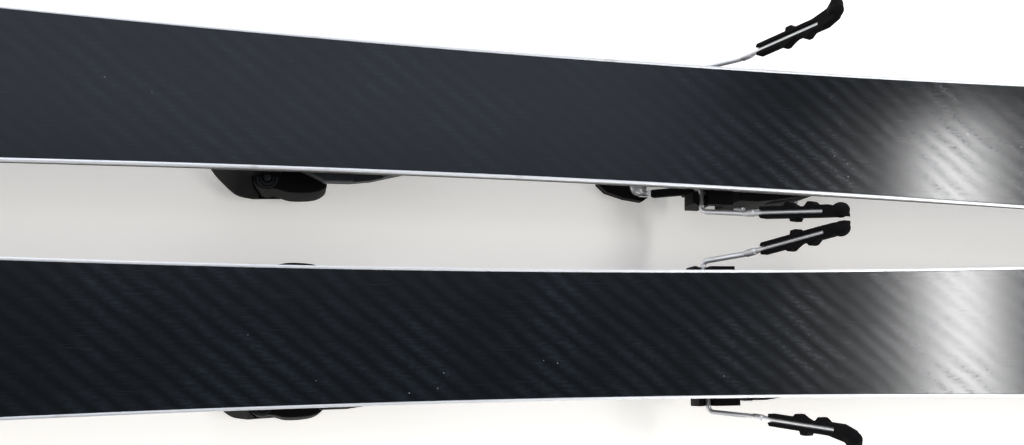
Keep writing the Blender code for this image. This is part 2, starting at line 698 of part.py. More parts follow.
def build_toe_works(ski, prefix, look):
    centre = (0.0, barrel_z())
    running = TOE_BARREL_RADIUS - CLEARANCE
    screw_start = TOE_FRONT - TOE_SCREW_PROUD
    body, cross = slotted_screw("toe_screw", centre, running, screw_start, toe_screw_end(), True)
    screw = mesh_object(f"{prefix}_toe_release_screw", body, look["zinc"], ski, (TOE_FRONT, *centre))
    cut(screw, cross)
    spring = sleeve("toe_spring", centre, running - CLEARANCE, running - SPRING_WALL,
                    toe_screw_end() + CLEARANCE, toe_spring_end())
    mesh_object(f"{prefix}_toe_spring", spring, look["zinc"], ski)
    head_start = toe_spring_end() + CLEARANCE
    head = rod("toe_piston", centre, running, head_start, piston_end(), "X")
    piston = mesh_object(f"{prefix}_toe_piston", head, look["zinc"], ski, (head_start, *centre))
    stem = rod("stem", centre, PISTON_STEM_RADIUS, head_start - PISTON_STEM_LENGTH,
               head_start + CLEARANCE, "X", SMALL_ROUND_SIDES)
    fuse(piston, [stem])

    low, high = wing_levels()
    for side, label in ski_sides(ski):
        shape = flipped(wing_shape(), side)
        pivot = (WING_PIVOT_X, side * WING_PIVOT_Y, 0.0)
        wing = mesh_object(f"{prefix}_toe_wing_{label}", shape, look["black"], ski, pivot)
        soften(wing)
        cut(wing, [rod("bore", pivot[:2], WING_PIN_RADIUS + CLEARANCE, low - CUT_MARGIN,
                       high + CUT_MARGIN, "Z", SMALL_ROUND_SIDES)])


def build_afd(ski, prefix, look):
    """The plate that slides sideways under the boot's toe, on a rail across the baseplate."""
    front = AFD_FRONT_WIDTH / 2
    back = AFD_BACK_WIDTH / 2
    length = AFD_BACK - AFD_FRONT
    side_curve = [(AFD_FRONT + along * length, front - loss * (front - back))
                  for along, loss in AFD_SIDE_CURVE]
    shoulder = (AFD_FRONT + AFD_NOSE_LENGTH, front - AFD_CORNER / 2)
    outline = mirrored([(AFD_FRONT, AFD_NOSE_WIDTH / 2), shoulder, *side_curve,
                        (AFD_BACK - AFD_CORNER, back), (AFD_BACK, back - AFD_CORNER)])
    low = SOLE_Z
    high = PLATE_BOTTOM_Z - CLEARANCE
    piece = mesh_object(f"{prefix}_afd_plate", prism("afd_plate", outline, low, high), look["grey"], ski)
    groove = box("groove", (AFD_RAIL_FRONT - CLEARANCE, AFD_RAIL_BACK + CLEARANCE),
                 (-front - CUT_MARGIN, front + CUT_MARGIN),
                 (PLATE_BOTTOM_Z - AFD_RAIL_HEIGHT - CLEARANCE, high + CUT_MARGIN))
    soften(piece)
    cut(piece, [groove])


# Heel piece


def build_heel_track(ski, prefix, look):
    half = HEEL_TRACK_WIDTH / 2
    rail_half = HEEL_RAIL_WIDTH / 2
    foot_z = PLATE_BOTTOM_Z + HEEL_RAIL_HEIGHT
    section = mirrored([(PLATE_TOP_Z, half), (foot_z, half),
                        (foot_z, rail_half), (PLATE_BOTTOM_Z, rail_half)])
    outline = [(y, z) for z, y in section]
    track = prism("heel_track", outline, HEEL_TRACK_FRONT, HEEL_TRACK_BACK, "X")
    piece = mesh_object(f"{prefix}_heel_track", track, look["black"], ski)
    screw_y = (half + rail_half) / 2
    rows = (HEEL_TRACK_FRONT + 2 * SCREW_HEAD_RADIUS, HEEL_TRACK_BACK - 2 * SCREW_HEAD_RADIUS)
    holes = [rod("hole", (x, y), SCREW_HOLE_RADIUS, foot_z - CUT_MARGIN, PLATE_TOP_Z + CUT_MARGIN, "Z",
                 SMALL_ROUND_SIDES) for x in rows for y in (-screw_y, screw_y)]
    cut(piece, holes)


def build_heel_carriage(ski, prefix, look):
    inner = HEEL_RAIL_WIDTH / 2 + CLEARANCE
    outer = inner + CARRIAGE_FLANGE
    flange_top = PLATE_BOTTOM_Z + HEEL_RAIL_HEIGHT - CLEARANCE
    section = mirrored([(CARRIAGE_TOP_Z, inner), (flange_top, inner),
                        (flange_top, outer), (CARRIAGE_BOTTOM_Z, outer)])
    outline = [(y, z) for z, y in section]
    carriage = prism("carriage", outline, CARRIAGE_FRONT, CARRIAGE_BACK, "X")
    mesh_object(f"{prefix}_heel_carriage", carriage, look["zinc"], ski)


def heel_barrel_z():
    return CARRIAGE_BOTTOM_Z - CLEARANCE - HEEL_BARREL_WALL - HEEL_BARREL_RADIUS


def heel_spring_start():
    return HEEL_HOUSING_BACK - HEEL_SCREW_LENGTH - CLEARANCE - HEEL_SPRING_LENGTH


def cup_pivot():
    return (CUP_PIVOT_X, -CUP_PIVOT_DEPTH)


def lever_pivot():
    return (LEVER_PIVOT_X, -LEVER_PIVOT_DEPTH)


def build_heel_housing(ski, prefix, look):
    half = HEEL_SHOULDER_WIDTH / 2
    top_z = CARRIAGE_BOTTOM_Z - CLEARANCE
    outline = [(HEEL_HOUSING_FRONT, top_z), (HEEL_HOUSING_BACK, top_z),
               (HEEL_HOUSING_BACK, FLOOR_Z + HEEL_BACK_SLOPE),
               (HEEL_HOUSING_BACK - HEEL_BACK_SLOPE, FLOOR_Z),
               (HEEL_HOUSING_FRONT + HEEL_FRONT_CHAMFER, FLOOR_Z),
               (HEEL_HOUSING_FRONT, FLOOR_Z + HEEL_FRONT_CHAMFER)]
    housing = prism("heel_housing", outline, -half, half, "Y")
    piece = mesh_object(f"{prefix}_heel_housing", housing, look["black"], ski)
    floor_z = heel_barrel_z() - HEEL_BARREL_RADIUS - HEEL_BARREL_WALL
    inner = HEEL_HOUSING_WIDTH / 2 - HEEL_CHEEK_THICKNESS
    well = box("cup_well", (HEEL_HOUSING_FRONT - CUT_MARGIN, HEEL_HOUSING_BACK + CUT_MARGIN),
               (-inner, inner), (FLOOR_Z + HEEL_ROOF_THICKNESS, floor_z))
    barrel = rod("barrel", (0.0, heel_barrel_z()), HEEL_BARREL_RADIUS, heel_spring_start() - CLEARANCE,
                 HEEL_HOUSING_BACK + CUT_MARGIN, "X")
    pin_holes = [rod("pin_hole", centre, radius + CLEARANCE, -half - CUT_MARGIN, half + CUT_MARGIN, "Y",
                     SMALL_ROUND_SIDES)
                 for centre, radius in ((cup_pivot(), CUP_PIN_RADIUS), (lever_pivot(), LEVER_PIN_RADIUS))]
    far_x = HEEL_HOUSING_BACK + CUT_MARGIN
    outside = [*HEEL_SIDE_CURVE, (far_x, HEEL_SIDE_CURVE[-1][1]), (far_x, half + CUT_MARGIN),
               (HEEL_SIDE_CURVE[0][0], half + CUT_MARGIN)]
    wedges = [prism("side_wedge", [(x, side * y) for x, y in outside], FLOOR_Z - CUT_MARGIN,
                    top_z + CUT_MARGIN) for side in (-1, 1)]
    cut(piece, [*wedges, well, barrel, *pin_holes])


def build_heel_works(ski, prefix, look):
    centre = (0.0, heel_barrel_z())
    running = HEEL_BARREL_RADIUS - CLEARANCE
    body, cross = slotted_screw("heel_screw", centre, running, HEEL_HOUSING_BACK - HEEL_SCREW_LENGTH,
                                HEEL_HOUSING_BACK + HEEL_SCREW_PROUD, False)
    origin = (HEEL_HOUSING_BACK, *centre)
    screw = mesh_object(f"{prefix}_heel_release_screw", body, look["zinc"], ski, origin)
    cut(screw, cross)
    spring = sleeve("heel_spring", centre, running - CLEARANCE, running - SPRING_WALL, heel_spring_start(),
                    heel_spring_start() + HEEL_SPRING_LENGTH)
    mesh_object(f"{prefix}_heel_spring", spring, look["zinc"], ski)

    half = HEEL_HOUSING_WIDTH / 2
    pin = rod("cup_pin", cup_pivot(), CUP_PIN_RADIUS, -half, half, "Y", SMALL_ROUND_SIDES)
    mesh_object(f"{prefix}_heel_cup_pin", pin, look["zinc"], ski)


def build_heel_cup(ski, prefix, look):
    """A wide jaw over the boot's heel lug, with a tongue back to the pin between the housing's cheeks."""
    pivot_x, pivot_z = cup_pivot()
    jaw_low = HEEL_LUG_Z - CUP_JAW_THICKNESS
    wall_front = BOOT_HEEL_X + CLEARANCE
    wall_back = wall_front + CUP_BACK_THICKNESS
    wall_top = SOLE_Z - CUP_WALL_BELOW_SOLE
    jaw_front = wall_front - CUP_JAW_OVERLAP
    jaw = [(jaw_front, HEEL_LUG_Z), (wall_front, HEEL_LUG_Z), (wall_front, wall_top), (wall_back, wall_top),
           (wall_back + CUP_JAW_SLOPE, jaw_low), (jaw_front + CUP_JAW_SLOPE, jaw_low)]
    half = CUP_WIDTH / 2
    piece = mesh_object(f"{prefix}_heel_cup", prism("heel_cup", jaw, -half, half, "Y"), look["black"], ski,
                        (pivot_x, 0.0, pivot_z))
    tongue_half = HEEL_HOUSING_WIDTH / 2 - HEEL_CHEEK_THICKNESS - CLEARANCE
    hub = arc((pivot_x, pivot_z), CUP_HUB_RADIUS, -math.pi / 2, math.pi / 2, HUB_STEPS)
    root = wall_back - CUP_TONGUE_OVERLAP
    tongue = prism("tongue", hub + [(root, pivot_z + CUP_HUB_RADIUS), (root, pivot_z - CUP_HUB_RADIUS)],
                   -tongue_half, tongue_half, "Y")
    fuse(piece, [tongue])
    cut(piece, [rod("bore", (pivot_x, pivot_z), CUP_PIN_RADIUS + CLEARANCE, -half - CUT_MARGIN,
                    half + CUT_MARGIN, "Y", SMALL_ROUND_SIDES)])


def build_heel_lever(ski, prefix, look):
    """The opening lever, with its own pin through the housing's cheeks."""
    pivot_x, pivot_z = lever_pivot()
    half = LEVER_WIDTH / 2
    hub = arc((pivot_x, pivot_z), LEVER_HUB_RADIUS, math.pi / 2, 3 * math.pi / 2, HUB_STEPS)
    outline = hub + [(LEVER_BACK - LEVER_LIP, pivot_z - LEVER_THICKNESS / 2), (LEVER_BACK, pivot_z),
                     (LEVER_BACK - LEVER_LIP / 2, pivot_z + LEVER_THICKNESS / 2),
                     (pivot_x + LEVER_HUB_RADIUS, pivot_z + LEVER_HUB_RADIUS)]
    lever = prism("heel_lever", outline, -half, half, "Y")
    piece = mesh_object(f"{prefix}_heel_lever", lever, look["grey"], ski, (pivot_x, 0.0, pivot_z))
    reach = HEEL_HOUSING_WIDTH / 2
    fuse(piece, [rod("lever_pin", (pivot_x, pivot_z), LEVER_PIN_RADIUS, -reach, reach, "Y",
                     SMALL_ROUND_SIDES)])


# Ski brake


def brake_pivot():
    return Vector((BRAKE_PIVOT_X, 0.0, -BRAKE_PIVOT_DEPTH))


def build_brake_base(ski, prefix, look):
    """A bridge under the boot's heel with a cheek on each side that carries a wire in a saddle."""
    top_z = CARRIAGE_BOTTOM_Z - CLEARANCE
    bridge_low = SOLE_Z
    leg_clear = BRAKE_WIRE_RADIUS + 2 * CLEARANCE
    bridge_half = BRAKE_LEG_Y - leg_clear
    cheek_inner = BRAKE_LEG_Y + BRAKE_WIRE_BEND + CLEARANCE
    cheek_outer = BRAKE_CORNER_Y - BRAKE_WIRE_BEND - CLEARANCE
    bridge = box("bridge", (BRAKE_BASE_FRONT, BRAKE_BASE_BACK), (-bridge_half, bridge_half),
                 (bridge_low, top_z))
    piece = mesh_object(f"{prefix}_brake_base", bridge, look["black"], ski)
    bar_front = BRAKE_PIVOT_X + BRAKE_WIRE_RADIUS + 2 * CLEARANCE
    crossbar = box("crossbar", (bar_front, BRAKE_BASE_BACK), (-cheek_outer, cheek_outer),
                   (bridge_low, top_z))
    cheeks = []
    low_z = -BRAKE_CHEEK_BOTTOM_DEPTH
    for side in (-1, 1):
        outline = [(BRAKE_CHEEK_FRONT, top_z), (BRAKE_CHEEK_FRONT, -BRAKE_CHEEK_SHOULDER_DEPTH),
                   (BRAKE_CHEEK_FRONT + BRAKE_CHEEK_LEAN, low_z), (BRAKE_CHEEK_BACK, low_z),
                   (BRAKE_CHEEK_BACK, top_z)]
        low, high = sorted((side * cheek_inner, side * cheek_outer))
        cheeks.append(prism("cheek", outline, low, high, "Y"))
    fuse(piece, [crossbar])
    fuse(piece, cheeks)
    pivot = (BRAKE_PIVOT_X, -BRAKE_PIVOT_DEPTH)
    bearing = BRAKE_WIRE_RADIUS + CLEARANCE
    for side in (-1, 1):
        low, high = sorted((side * (cheek_inner - CUT_MARGIN), side * (cheek_outer + CUT_MARGIN)))
        cut(piece, [rod("saddle", pivot, bearing, low, high, "Y", SMALL_ROUND_SIDES)])
        cut(piece, [box("saddle_mouth", (BRAKE_PIVOT_X - bearing, BRAKE_PIVOT_X + bearing), (low, high),
                        (-BRAKE_PIVOT_DEPTH, top_z + CUT_MARGIN))])


def rounded_path(points, radius, steps):
    """The points with each inner corner replaced by an arc."""
    path = [points[0]]
    for before, corner, after in zip(points, points[1:], points[2:]):
        towards = (before - corner).normalized()
        away = (after - corner).normalized()
        half_angle = towards.angle(away) / 2
        run = radius / math.tan(half_angle)
        centre = corner + (towards + away).normalized() * (radius / math.sin(half_angle))
        start = corner + towards * run - centre
        end = corner + away * run - centre
        turn = start.angle(end)
        normal = start.cross(end).normalized()
        for step in range(steps + 1):
            path.append(centre + Matrix.Rotation(turn * step / steps, 3, normal) @ start)
    path.append(points[-1])
    return path


def swept_tube(name, path, radius, sides):
    """A round tube along the path, its rings carried along without twist."""
    sections = []
    heading = (path[1] - path[0]).normalized()
    across = heading.orthogonal().normalized()
    for index, point in enumerate(path):
        before = path[max(index - 1, 0)]
        after = path[min(index + 1, len(path) - 1)]
        direction = (after - before).normalized()
        across = (across - direction * across.dot(direction)).normalized()
        other = direction.cross(across)
        sections.append([point + radius * (math.cos(a) * across + math.sin(a) * other)
                         for a in (2 * math.pi * step / sides for step in range(sides))])
    return loft(name, sections)


def brake_wire_points():
    stub_z = -BRAKE_STUB_DEPTH
    pivot_z = -BRAKE_PIVOT_DEPTH
    return [Vector((BRAKE_STUB_X, BRAKE_STUB_END_Y, stub_z)), Vector((BRAKE_STUB_X, BRAKE_LEG_Y, stub_z)),
            Vector((BRAKE_PIVOT_X, BRAKE_LEG_Y, pivot_z)), Vector((BRAKE_PIVOT_X, BRAKE_CORNER_Y, pivot_z)),
            BRAKE_KINK.copy(), BRAKE_WIRE_TIP.copy()]


def pad_frame():
    """Axes of the +Y pad: along the arm, outwards across it, and out of its front face."""
    along = (BRAKE_WIRE_TIP - BRAKE_KINK).normalized()
    across = (Vector((0.0, 1.0, 0.0)) - along * along.y).normalized()
    front = along.cross(across)
    return Matrix((along, across, front)).transposed().to_4x4()


def pad_outline(hook):
    """The pad's face: a straight bar with lugs on both sides and a rounded tip that hooks outwards."""
    half = PAD_WIDTH / 2
    length = PAD_END - PAD_START
    outer = [(PAD_START, half - PAD_CORNER), (PAD_START + PAD_CORNER, half)]
    outer += [(PAD_START + share * length, half + rise * PAD_LUG) for share, rise in PAD_OUTER_LUGS]
    outer.append((PAD_START + PAD_HOOK_START * length, half))
    tip = [(PAD_START + share * length, wide * half + bend * hook) for share, wide, bend in PAD_HOOK_CURVE]
    inner = [(PAD_START + share * length, -half - rise * PAD_LUG) for share, rise in PAD_INNER_LUGS]
    return outer + tip + inner + [(PAD_START, -half)]


def build_brake_arm(ski, prefix, look, side, label):
    pivot = brake_pivot()
    path = rounded_path(brake_wire_points(), BRAKE_WIRE_BEND, WIRE_BEND_STEPS)
    wire = flipped(swept_tube("brake_wire", path, BRAKE_WIRE_RADIUS, WIRE_SIDES), side)
    mesh_object(f"{prefix}_brake_wire_{label}", wire, look["chrome"], ski, pivot)

    hook = OUTER_HOOK_REACH if label == "outer" else INNER_HOOK_REACH
    place = Matrix.Translation(BRAKE_KINK) @ pad_frame()
    pad = prism("brake_pad", pad_outline(hook), -PAD_THICKNESS / 2, PAD_THICKNESS / 2)
    pad.transform(place)
    wire_run = (BRAKE_WIRE_TIP - BRAKE_KINK).length
    slot_half = PAD_SLOT_WIDTH / 2
    slot = box("slot", (PAD_START - CUT_MARGIN, wire_run + CLEARANCE), (-slot_half, slot_half),
               (0.0, PAD_THICKNESS / 2 + CUT_MARGIN))
    bore = rod("bore", (0.0, 0.0), BRAKE_WIRE_RADIUS + CLEARANCE, PAD_START - CUT_MARGIN,
               wire_run + CLEARANCE, "X", SMALL_ROUND_SIDES)
    for tool in (slot, bore):
        tool.transform(place)
    piece = mesh_object(f"{prefix}_brake_pad_{label}", flipped(pad, side), look["black"], ski, pivot)
    cut(piece, [flipped(slot, side)])
    cut(piece, [flipped(bore, side)])


def build_brake_pedal(ski, prefix, look):
    """The plate that the boot presses, hung on the inner ends of the two wires."""
    half = PEDAL_WIDTH / 2
    front = PEDAL_FRONT_WIDTH / 2
    length = PEDAL_BACK - PEDAL_FRONT
    side_curve = [(PEDAL_FRONT + along * length, front + growth * (half - front))
                  for along, growth in PEDAL_SIDE_CURVE]
    outline = mirrored(side_curve + [(PEDAL_BACK, half - PEDAL_BACK_CORNER)])
    axis_z = -BRAKE_STUB_DEPTH
    low = axis_z - PEDAL_THICKNESS / 2
    high = axis_z + PEDAL_THICKNESS / 2
    piece = mesh_object(f"{prefix}_brake_pedal", prism("pedal", outline, low, high), look["black"], ski,
                        (BRAKE_STUB_X, 0.0, axis_z))
    axis_hole = rod("axis_hole", (BRAKE_STUB_X, axis_z), BRAKE_WIRE_RADIUS + CLEARANCE,
                    -BRAKE_LEG_Y, BRAKE_LEG_Y, "Y", SMALL_ROUND_SIDES)
    notch_half = BRAKE_WIRE_RADIUS + PEDAL_NOTCH_MARGIN
    notches = []
    for side in (-1, 1):
        middle = side * BRAKE_LEG_Y
        inner = middle - side * (notch_half + BRAKE_WIRE_BEND)
        low_y, high_y = sorted((inner, middle + side * notch_half))
        notches.append(box("notch", (BRAKE_STUB_X - notch_half, PEDAL_BACK + CUT_MARGIN), (low_y, high_y),
                           (low - CUT_MARGIN, high + CUT_MARGIN)))
    cut(piece, [axis_hole])
    cut(piece, notches)


def build_ski(prefix, outward, look):
    """One ski with its binding and brake. Outward is the side of the pair that it lies on."""
    ski = bpy.data.objects.new(f"{prefix}_ski_frame", None)
    bpy.context.scene.collection.objects.link(ski)
    ski["outward"] = outward
    ski.location = (boot_centre_x(), outward * PAIR_SPACING / 2, -FLOOR_Z)
    ski.rotation_euler = (0.0, 0.0, -outward * PAIR_CONVERGENCE / 2)

    build_ski_body(ski, prefix, look)
    build_toe_plate(ski, prefix, look)
    build_toe_housing(ski, prefix, look)
    build_toe_works(ski, prefix, look)
    build_afd(ski, prefix, look)
    build_heel_track(ski, prefix, look)
    build_heel_carriage(ski, prefix, look)
    build_heel_housing(ski, prefix, look)
    build_heel_works(ski, prefix, look)
    build_heel_cup(ski, prefix, look)
    build_heel_lever(ski, prefix, look)
    build_brake_base(ski, prefix, look)
    for side, label in ski_sides(ski):
        build_brake_arm(ski, prefix, look, side, label)
    build_brake_pedal(ski, prefix, look)


def boot_centre_x():
    """Where the boot's middle lies when the pair's bounding box is centred on the origin."""
    turn = PAIR_CONVERGENCE / 2
    back = TAIL_REACH * math.cos(turn) + TAIL_END_WIDTH / 2 * math.sin(turn)
    front = TIP_REACH * math.cos(turn)
    return (front - back) / 2


def main():
    clear_scene()
    look = finishes()
    build_ski("left", 1, look)
    build_ski("right", -1, look)


main()
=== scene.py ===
# %% [markdown]
# A pair of alpine skis lies base up on its bindings. Each ski is a laminate of thin layers with a steel
# edge round the running base. A toe piece, a heel piece and a sprung brake are screwed to its top side,
# so here they hang below it, and only what reaches past the ski's waist is seen from above.
#
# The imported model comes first. It gives each body, its joints and the place of every solid, and the
# looks are built round it.

import math

import bmesh
import bpy
from mathutils import Matrix, Vector


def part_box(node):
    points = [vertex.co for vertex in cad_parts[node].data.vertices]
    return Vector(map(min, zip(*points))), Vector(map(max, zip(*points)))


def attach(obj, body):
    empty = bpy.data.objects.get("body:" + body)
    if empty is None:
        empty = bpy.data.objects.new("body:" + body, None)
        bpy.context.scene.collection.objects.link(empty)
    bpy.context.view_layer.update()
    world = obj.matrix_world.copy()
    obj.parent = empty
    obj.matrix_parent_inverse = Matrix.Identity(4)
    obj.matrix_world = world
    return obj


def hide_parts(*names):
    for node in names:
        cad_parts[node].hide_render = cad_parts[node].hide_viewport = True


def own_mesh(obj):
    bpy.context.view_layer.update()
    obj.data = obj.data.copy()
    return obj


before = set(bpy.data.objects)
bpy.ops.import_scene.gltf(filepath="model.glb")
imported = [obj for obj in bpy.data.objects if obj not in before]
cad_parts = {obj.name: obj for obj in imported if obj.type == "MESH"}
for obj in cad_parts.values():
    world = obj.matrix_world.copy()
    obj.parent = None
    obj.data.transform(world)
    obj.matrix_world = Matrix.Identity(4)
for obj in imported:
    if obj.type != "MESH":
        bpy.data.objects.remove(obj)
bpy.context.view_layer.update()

# %% [markdown]
# The photograph looks almost straight down on the bases from about 0.75 m above them, a little towards
# the tips. A camera fitted to the ski edges gives its place, its turn and its lens.

# %% The camera
IMAGE_WIDTH_PX = 1024
FOCAL_LENGTH_PX = 1149.43
SENSOR_WIDTH_MM = 36.0
CAMERA_PLACE = (-0.07772, -0.10963, 0.83944)
CAMERA_TURN_DEGREES = (8.1731, -11.4662, -0.0463)


def make_camera():
    lens = bpy.data.cameras.new("photo_camera")
    lens.sensor_width = SENSOR_WIDTH_MM
    lens.lens = FOCAL_LENGTH_PX / IMAGE_WIDTH_PX * SENSOR_WIDTH_MM
    camera = bpy.data.objects.new("photo_camera", lens)
    camera.location = CAMERA_PLACE
    camera.rotation_euler = [math.radians(angle) for angle in CAMERA_TURN_DEGREES]
    bpy.context.scene.collection.objects.link(camera)
    bpy.context.scene.camera = camera
    print("lens", round(lens.lens, 2), "mm")


make_camera()

# %% [markdown]
# The photograph was taken in soft light: the steel edges are bright nearly all over, the far ski's base
# picks up a faint sheen from one side, and one narrow lamp shows as a band across both bases near the
# tails. A world that is paler to one side, three large soft lamps and one narrow strip give the same.
# The strip is three lamps in a row, because its band is brighter on one ski than on the other.

# %% Light
WORLD_DARK = (0.10, 0.10, 0.105, 1.0)
WORLD_PALE = (0.85, 0.91, 1.09, 1.0)
WORLD_WHITE = (1.0, 1.0, 1.0, 1.0)
WORLD_LEVEL = 0.85
WORLD_SIDE_EDGE = (0.07, 0.24)
WORLD_FRONT_EDGE = (0.42, 0.28)
STRIP_HEIGHT = 1.60
STRIP_PLACE = 1.417
STRIP_AIM = 0.405
STRIP_WIDTH = 0.125
# Each strip lamp's middle across the skis, its length and its power.
STRIP_LENGTHS = ((-0.135, 1.23, 14.0), (-0.08, 0.35, 1.6), (0.28, 0.30, 0.9))
SKI_TOP_HEIGHT = 0.088
# Each soft lamp's name, place, size, power and colour.
SOFTBOXES = (("left_softbox", (-0.9, 2.0, 1.9), (1.8, 1.4), 26.0, (0.97, 0.98, 1.0)),
             ("right_softbox", (0.6, -2.2, 1.7), (1.8, 1.4), 22.0, (1.0, 0.99, 0.97)),
             ("end_softbox", (-2.4, -0.2, 1.3), (1.4, 1.2), 10.0, (1.0, 1.0, 1.0)))


def linear(colour):
    """A colour written as an sRGB hex value, in the linear numbers that a shader takes."""
    parts = [int(colour[i:i + 2], 16) / 255 for i in (1, 3, 5)]
    return (*[p / 12.92 if p <= 0.04045 else ((p + 0.055) / 1.055) ** 2.4 for p in parts], 1.0)


def add(tree, kind, values=None, links=None, **settings):
    """One node: its own settings, numbers for its sockets, and links into its sockets."""
    made = tree.nodes.new("ShaderNode" + kind)
    for field, value in settings.items():
        setattr(made, field, value)
    for socket, value in (values or {}).items():
        made.inputs[socket].default_value = value
    for socket, source in (links or {}).items():
        tree.links.new(source, made.inputs[socket])
    return made


def combined(tree, operation, first, second):
    """Two numbers brought together by one sum."""
    return add(tree, "Math", links={0: first, 1: second}, operation=operation).outputs[0]


def ranged(tree, source, start, end, low=0.0, high=1.0, kind="LINEAR"):
    """A number between start and end, spread from low to high."""
    return add(tree, "MapRange", {1: start, 2: end, 3: low, 4: high}, {0: source},
               interpolation_type=kind).outputs[0]


def mixed(tree, amount, first, second, **settings):
    """One colour turned into another. Each is a hex value, plain numbers or another node's output."""
    made = add(tree, "Mix", data_type="RGBA", **settings)
    for socket, source in ((0, amount), (6, first), (7, second)):
        if isinstance(source, bpy.types.NodeSocket):
            tree.links.new(source, made.inputs[socket])
        else:
            made.inputs[socket].default_value = linear(source) if isinstance(source, str) else source
    return made.outputs[2]


def make_world():
    world = bpy.data.worlds.new("soft_studio")
    world.use_nodes = True
    tree = world.node_tree
    tree.nodes.clear()
    heading = add(tree, "TexCoord").outputs["Generated"]
    parts = add(tree, "SeparateXYZ", links={0: heading}).outputs
    side = ranged(tree, parts["Y"], *WORLD_SIDE_EDGE, kind="SMOOTHSTEP")
    front = ranged(tree, parts["X"], *WORLD_FRONT_EDGE, kind="SMOOTHSTEP")
    colour = mixed(tree, combined(tree, "MULTIPLY", side, front), WORLD_DARK, WORLD_PALE)
    glow = add(tree, "Background", {1: WORLD_LEVEL}, {0: colour})
    white = add(tree, "Background", {0: WORLD_WHITE, 1: 1.0})
    shown = add(tree, "MixShader", links={0: add(tree, "LightPath").outputs["Is Camera Ray"],
                                          1: glow.outputs[0], 2: white.outputs[0]})
    add(tree, "OutputWorld", links={0: shown.outputs[0]})
    bpy.context.scene.world = world


def area_lamp(name, place, aim, size, power, colour=(1.0, 1.0, 1.0)):
    lamp = bpy.data.lights.new(name, "AREA")
    lamp.shape = "RECTANGLE"
    lamp.size, lamp.size_y = size
    lamp.energy = power
    lamp.color = colour
    holder = bpy.data.objects.new(name, lamp)
    holder.location = place
    holder.rotation_euler = (Vector(aim) - Vector(place)).to_track_quat("-Z", "Y").to_euler()
    bpy.context.scene.collection.objects.link(holder)


def make_lights():
    make_world()
    for middle, length, power in STRIP_LENGTHS:
        area_lamp("strip_lamp", (STRIP_PLACE, middle, SKI_TOP_HEIGHT + STRIP_HEIGHT),
                  (STRIP_AIM, middle, SKI_TOP_HEIGHT), (length, STRIP_WIDTH), power)
    for name, place, size, power, colour in SOFTBOXES:
        area_lamp(name, place, (0.0, 0.0, 0.0), size, power, colour)


make_lights()
print(len(STRIP_LENGTHS), "strip lamps and", len(SOFTBOXES), "soft lamps")

# %% [markdown]
# The floor is a plain pale sheet. It shows as white because its own colour is lifted for the camera and
# for reflections only, so that no extra light falls on the skis. The lift is least in a lane between the
# skis, which paints shade there over their real shadow, and grows away from them until the floor meets the
# white surround.

# %% Floor
FLOOR_HALF = 6.0
# The lowered lift in the lane between the skis is painted shade.
LIFT_IN_PAINTED_SHADE_LANE = 0.345
LIFT_BESIDE = 0.56
LIFT_ADDED_FAR = 0.5
SHADE_LANE_HALF_WIDTHS = (0.07, 0.13)
SHADE_LANE_HALF_LENGTHS = (0.60, 0.85)
SURROUND_RADII = (1.0, 2.6)


def make_floor():
    builder = bmesh.new()
    bmesh.ops.create_grid(builder, x_segments=1, y_segments=1, size=FLOOR_HALF)
    mesh = bpy.data.meshes.new("floor")
    builder.to_mesh(mesh)
    builder.free()
    floor = bpy.data.objects.new("floor", mesh)
    bpy.context.scene.collection.objects.link(floor)
    painted = bpy.data.materials.new("matt_white_floor")
    painted.use_nodes = True
    tree = painted.node_tree
    tree.nodes.clear()
    place = add(tree, "TexCoord").outputs["Object"]
    cloud = add(tree, "TexNoise", {"Scale": 3.0, "Detail": 2.0}, {"Vector": place})
    tone = mixed(tree, cloud.outputs["Fac"], "#f3f0ea", "#f7f5f1")
    matt = add(tree, "BsdfDiffuse", {"Roughness": 0.6}, {"Color": tone})
    rays = add(tree, "LightPath").outputs
    seen = combined(tree, "MAXIMUM", rays["Is Camera Ray"], rays["Is Glossy Ray"])
    seen = combined(tree, "MAXIMUM", seen, rays["Is Transmission Ray"])
    apart = add(tree, "VectorMath", links={0: place}, operation="ABSOLUTE")
    sides = add(tree, "SeparateXYZ", links={0: apart.outputs[0]}).outputs
    # A lower lift in a lane between the skis paints a darker shade there.
    beyond = ranged(tree, sides["X"], *SHADE_LANE_HALF_LENGTHS, kind="SMOOTHSTEP")
    beside = ranged(tree, sides["Y"], *SHADE_LANE_HALF_WIDTHS, kind="SMOOTHSTEP")
    outside = combined(tree, "MAXIMUM", beyond, beside)
    near = ranged(tree, outside, 0.0, 1.0, LIFT_IN_PAINTED_SHADE_LANE, LIFT_BESIDE)
    away = add(tree, "VectorMath", links={0: place}, operation="LENGTH").outputs["Value"]
    far = ranged(tree, away, *SURROUND_RADII, 0.0, LIFT_ADDED_FAR, "SMOOTHSTEP")
    lift = combined(tree, "MULTIPLY", seen, combined(tree, "ADD", near, far))
    glow = add(tree, "Emission", {"Color": linear("#fffdfa")}, {"Strength": lift})
    both = add(tree, "AddShader", links={0: matt.outputs[0], 1: glow.outputs[0]})
    add(tree, "OutputMaterial", links={0: both.outputs[0]})
    mesh.materials.append(painted)


make_floor()
bpy.context.scene.view_settings.view_transform = "Standard"
print("floor", FLOOR_HALF * 2, "m wide")

# %% [markdown]
# Each finish starts from what the real material is. One helper opens a material with its shader and the
# coordinates that its patterns read. The coordinates are the object's own, in metres, so a pattern keeps
# its real size and doesn't slide when a joint moves.

# %% Opening a finish


def open_finish(name, roughness, metallic=0.0, ior=1.5):
    finish = bpy.data.materials.new(name)
    finish.use_nodes = True
    tree = finish.node_tree
    tree.nodes.clear()
    shader = add(tree, "BsdfPrincipled", {"Roughness": roughness, "Metallic": metallic, "IOR": ior})
    add(tree, "OutputMaterial", links={0: shader.outputs[0]})
    place = add(tree, "TexCoord")
    return finish, tree, shader, place.outputs["Object"]


def turned(tree, place, scale=(1.0, 1.0, 1.0), turn=(0.0, 0.0, 0.0)):
    """The coordinates stretched and turned, for a pattern with a direction."""
    made = add(tree, "Mapping", {"Scale": scale, "Rotation": turn}, {"Vector": place})
    return made.outputs[0]


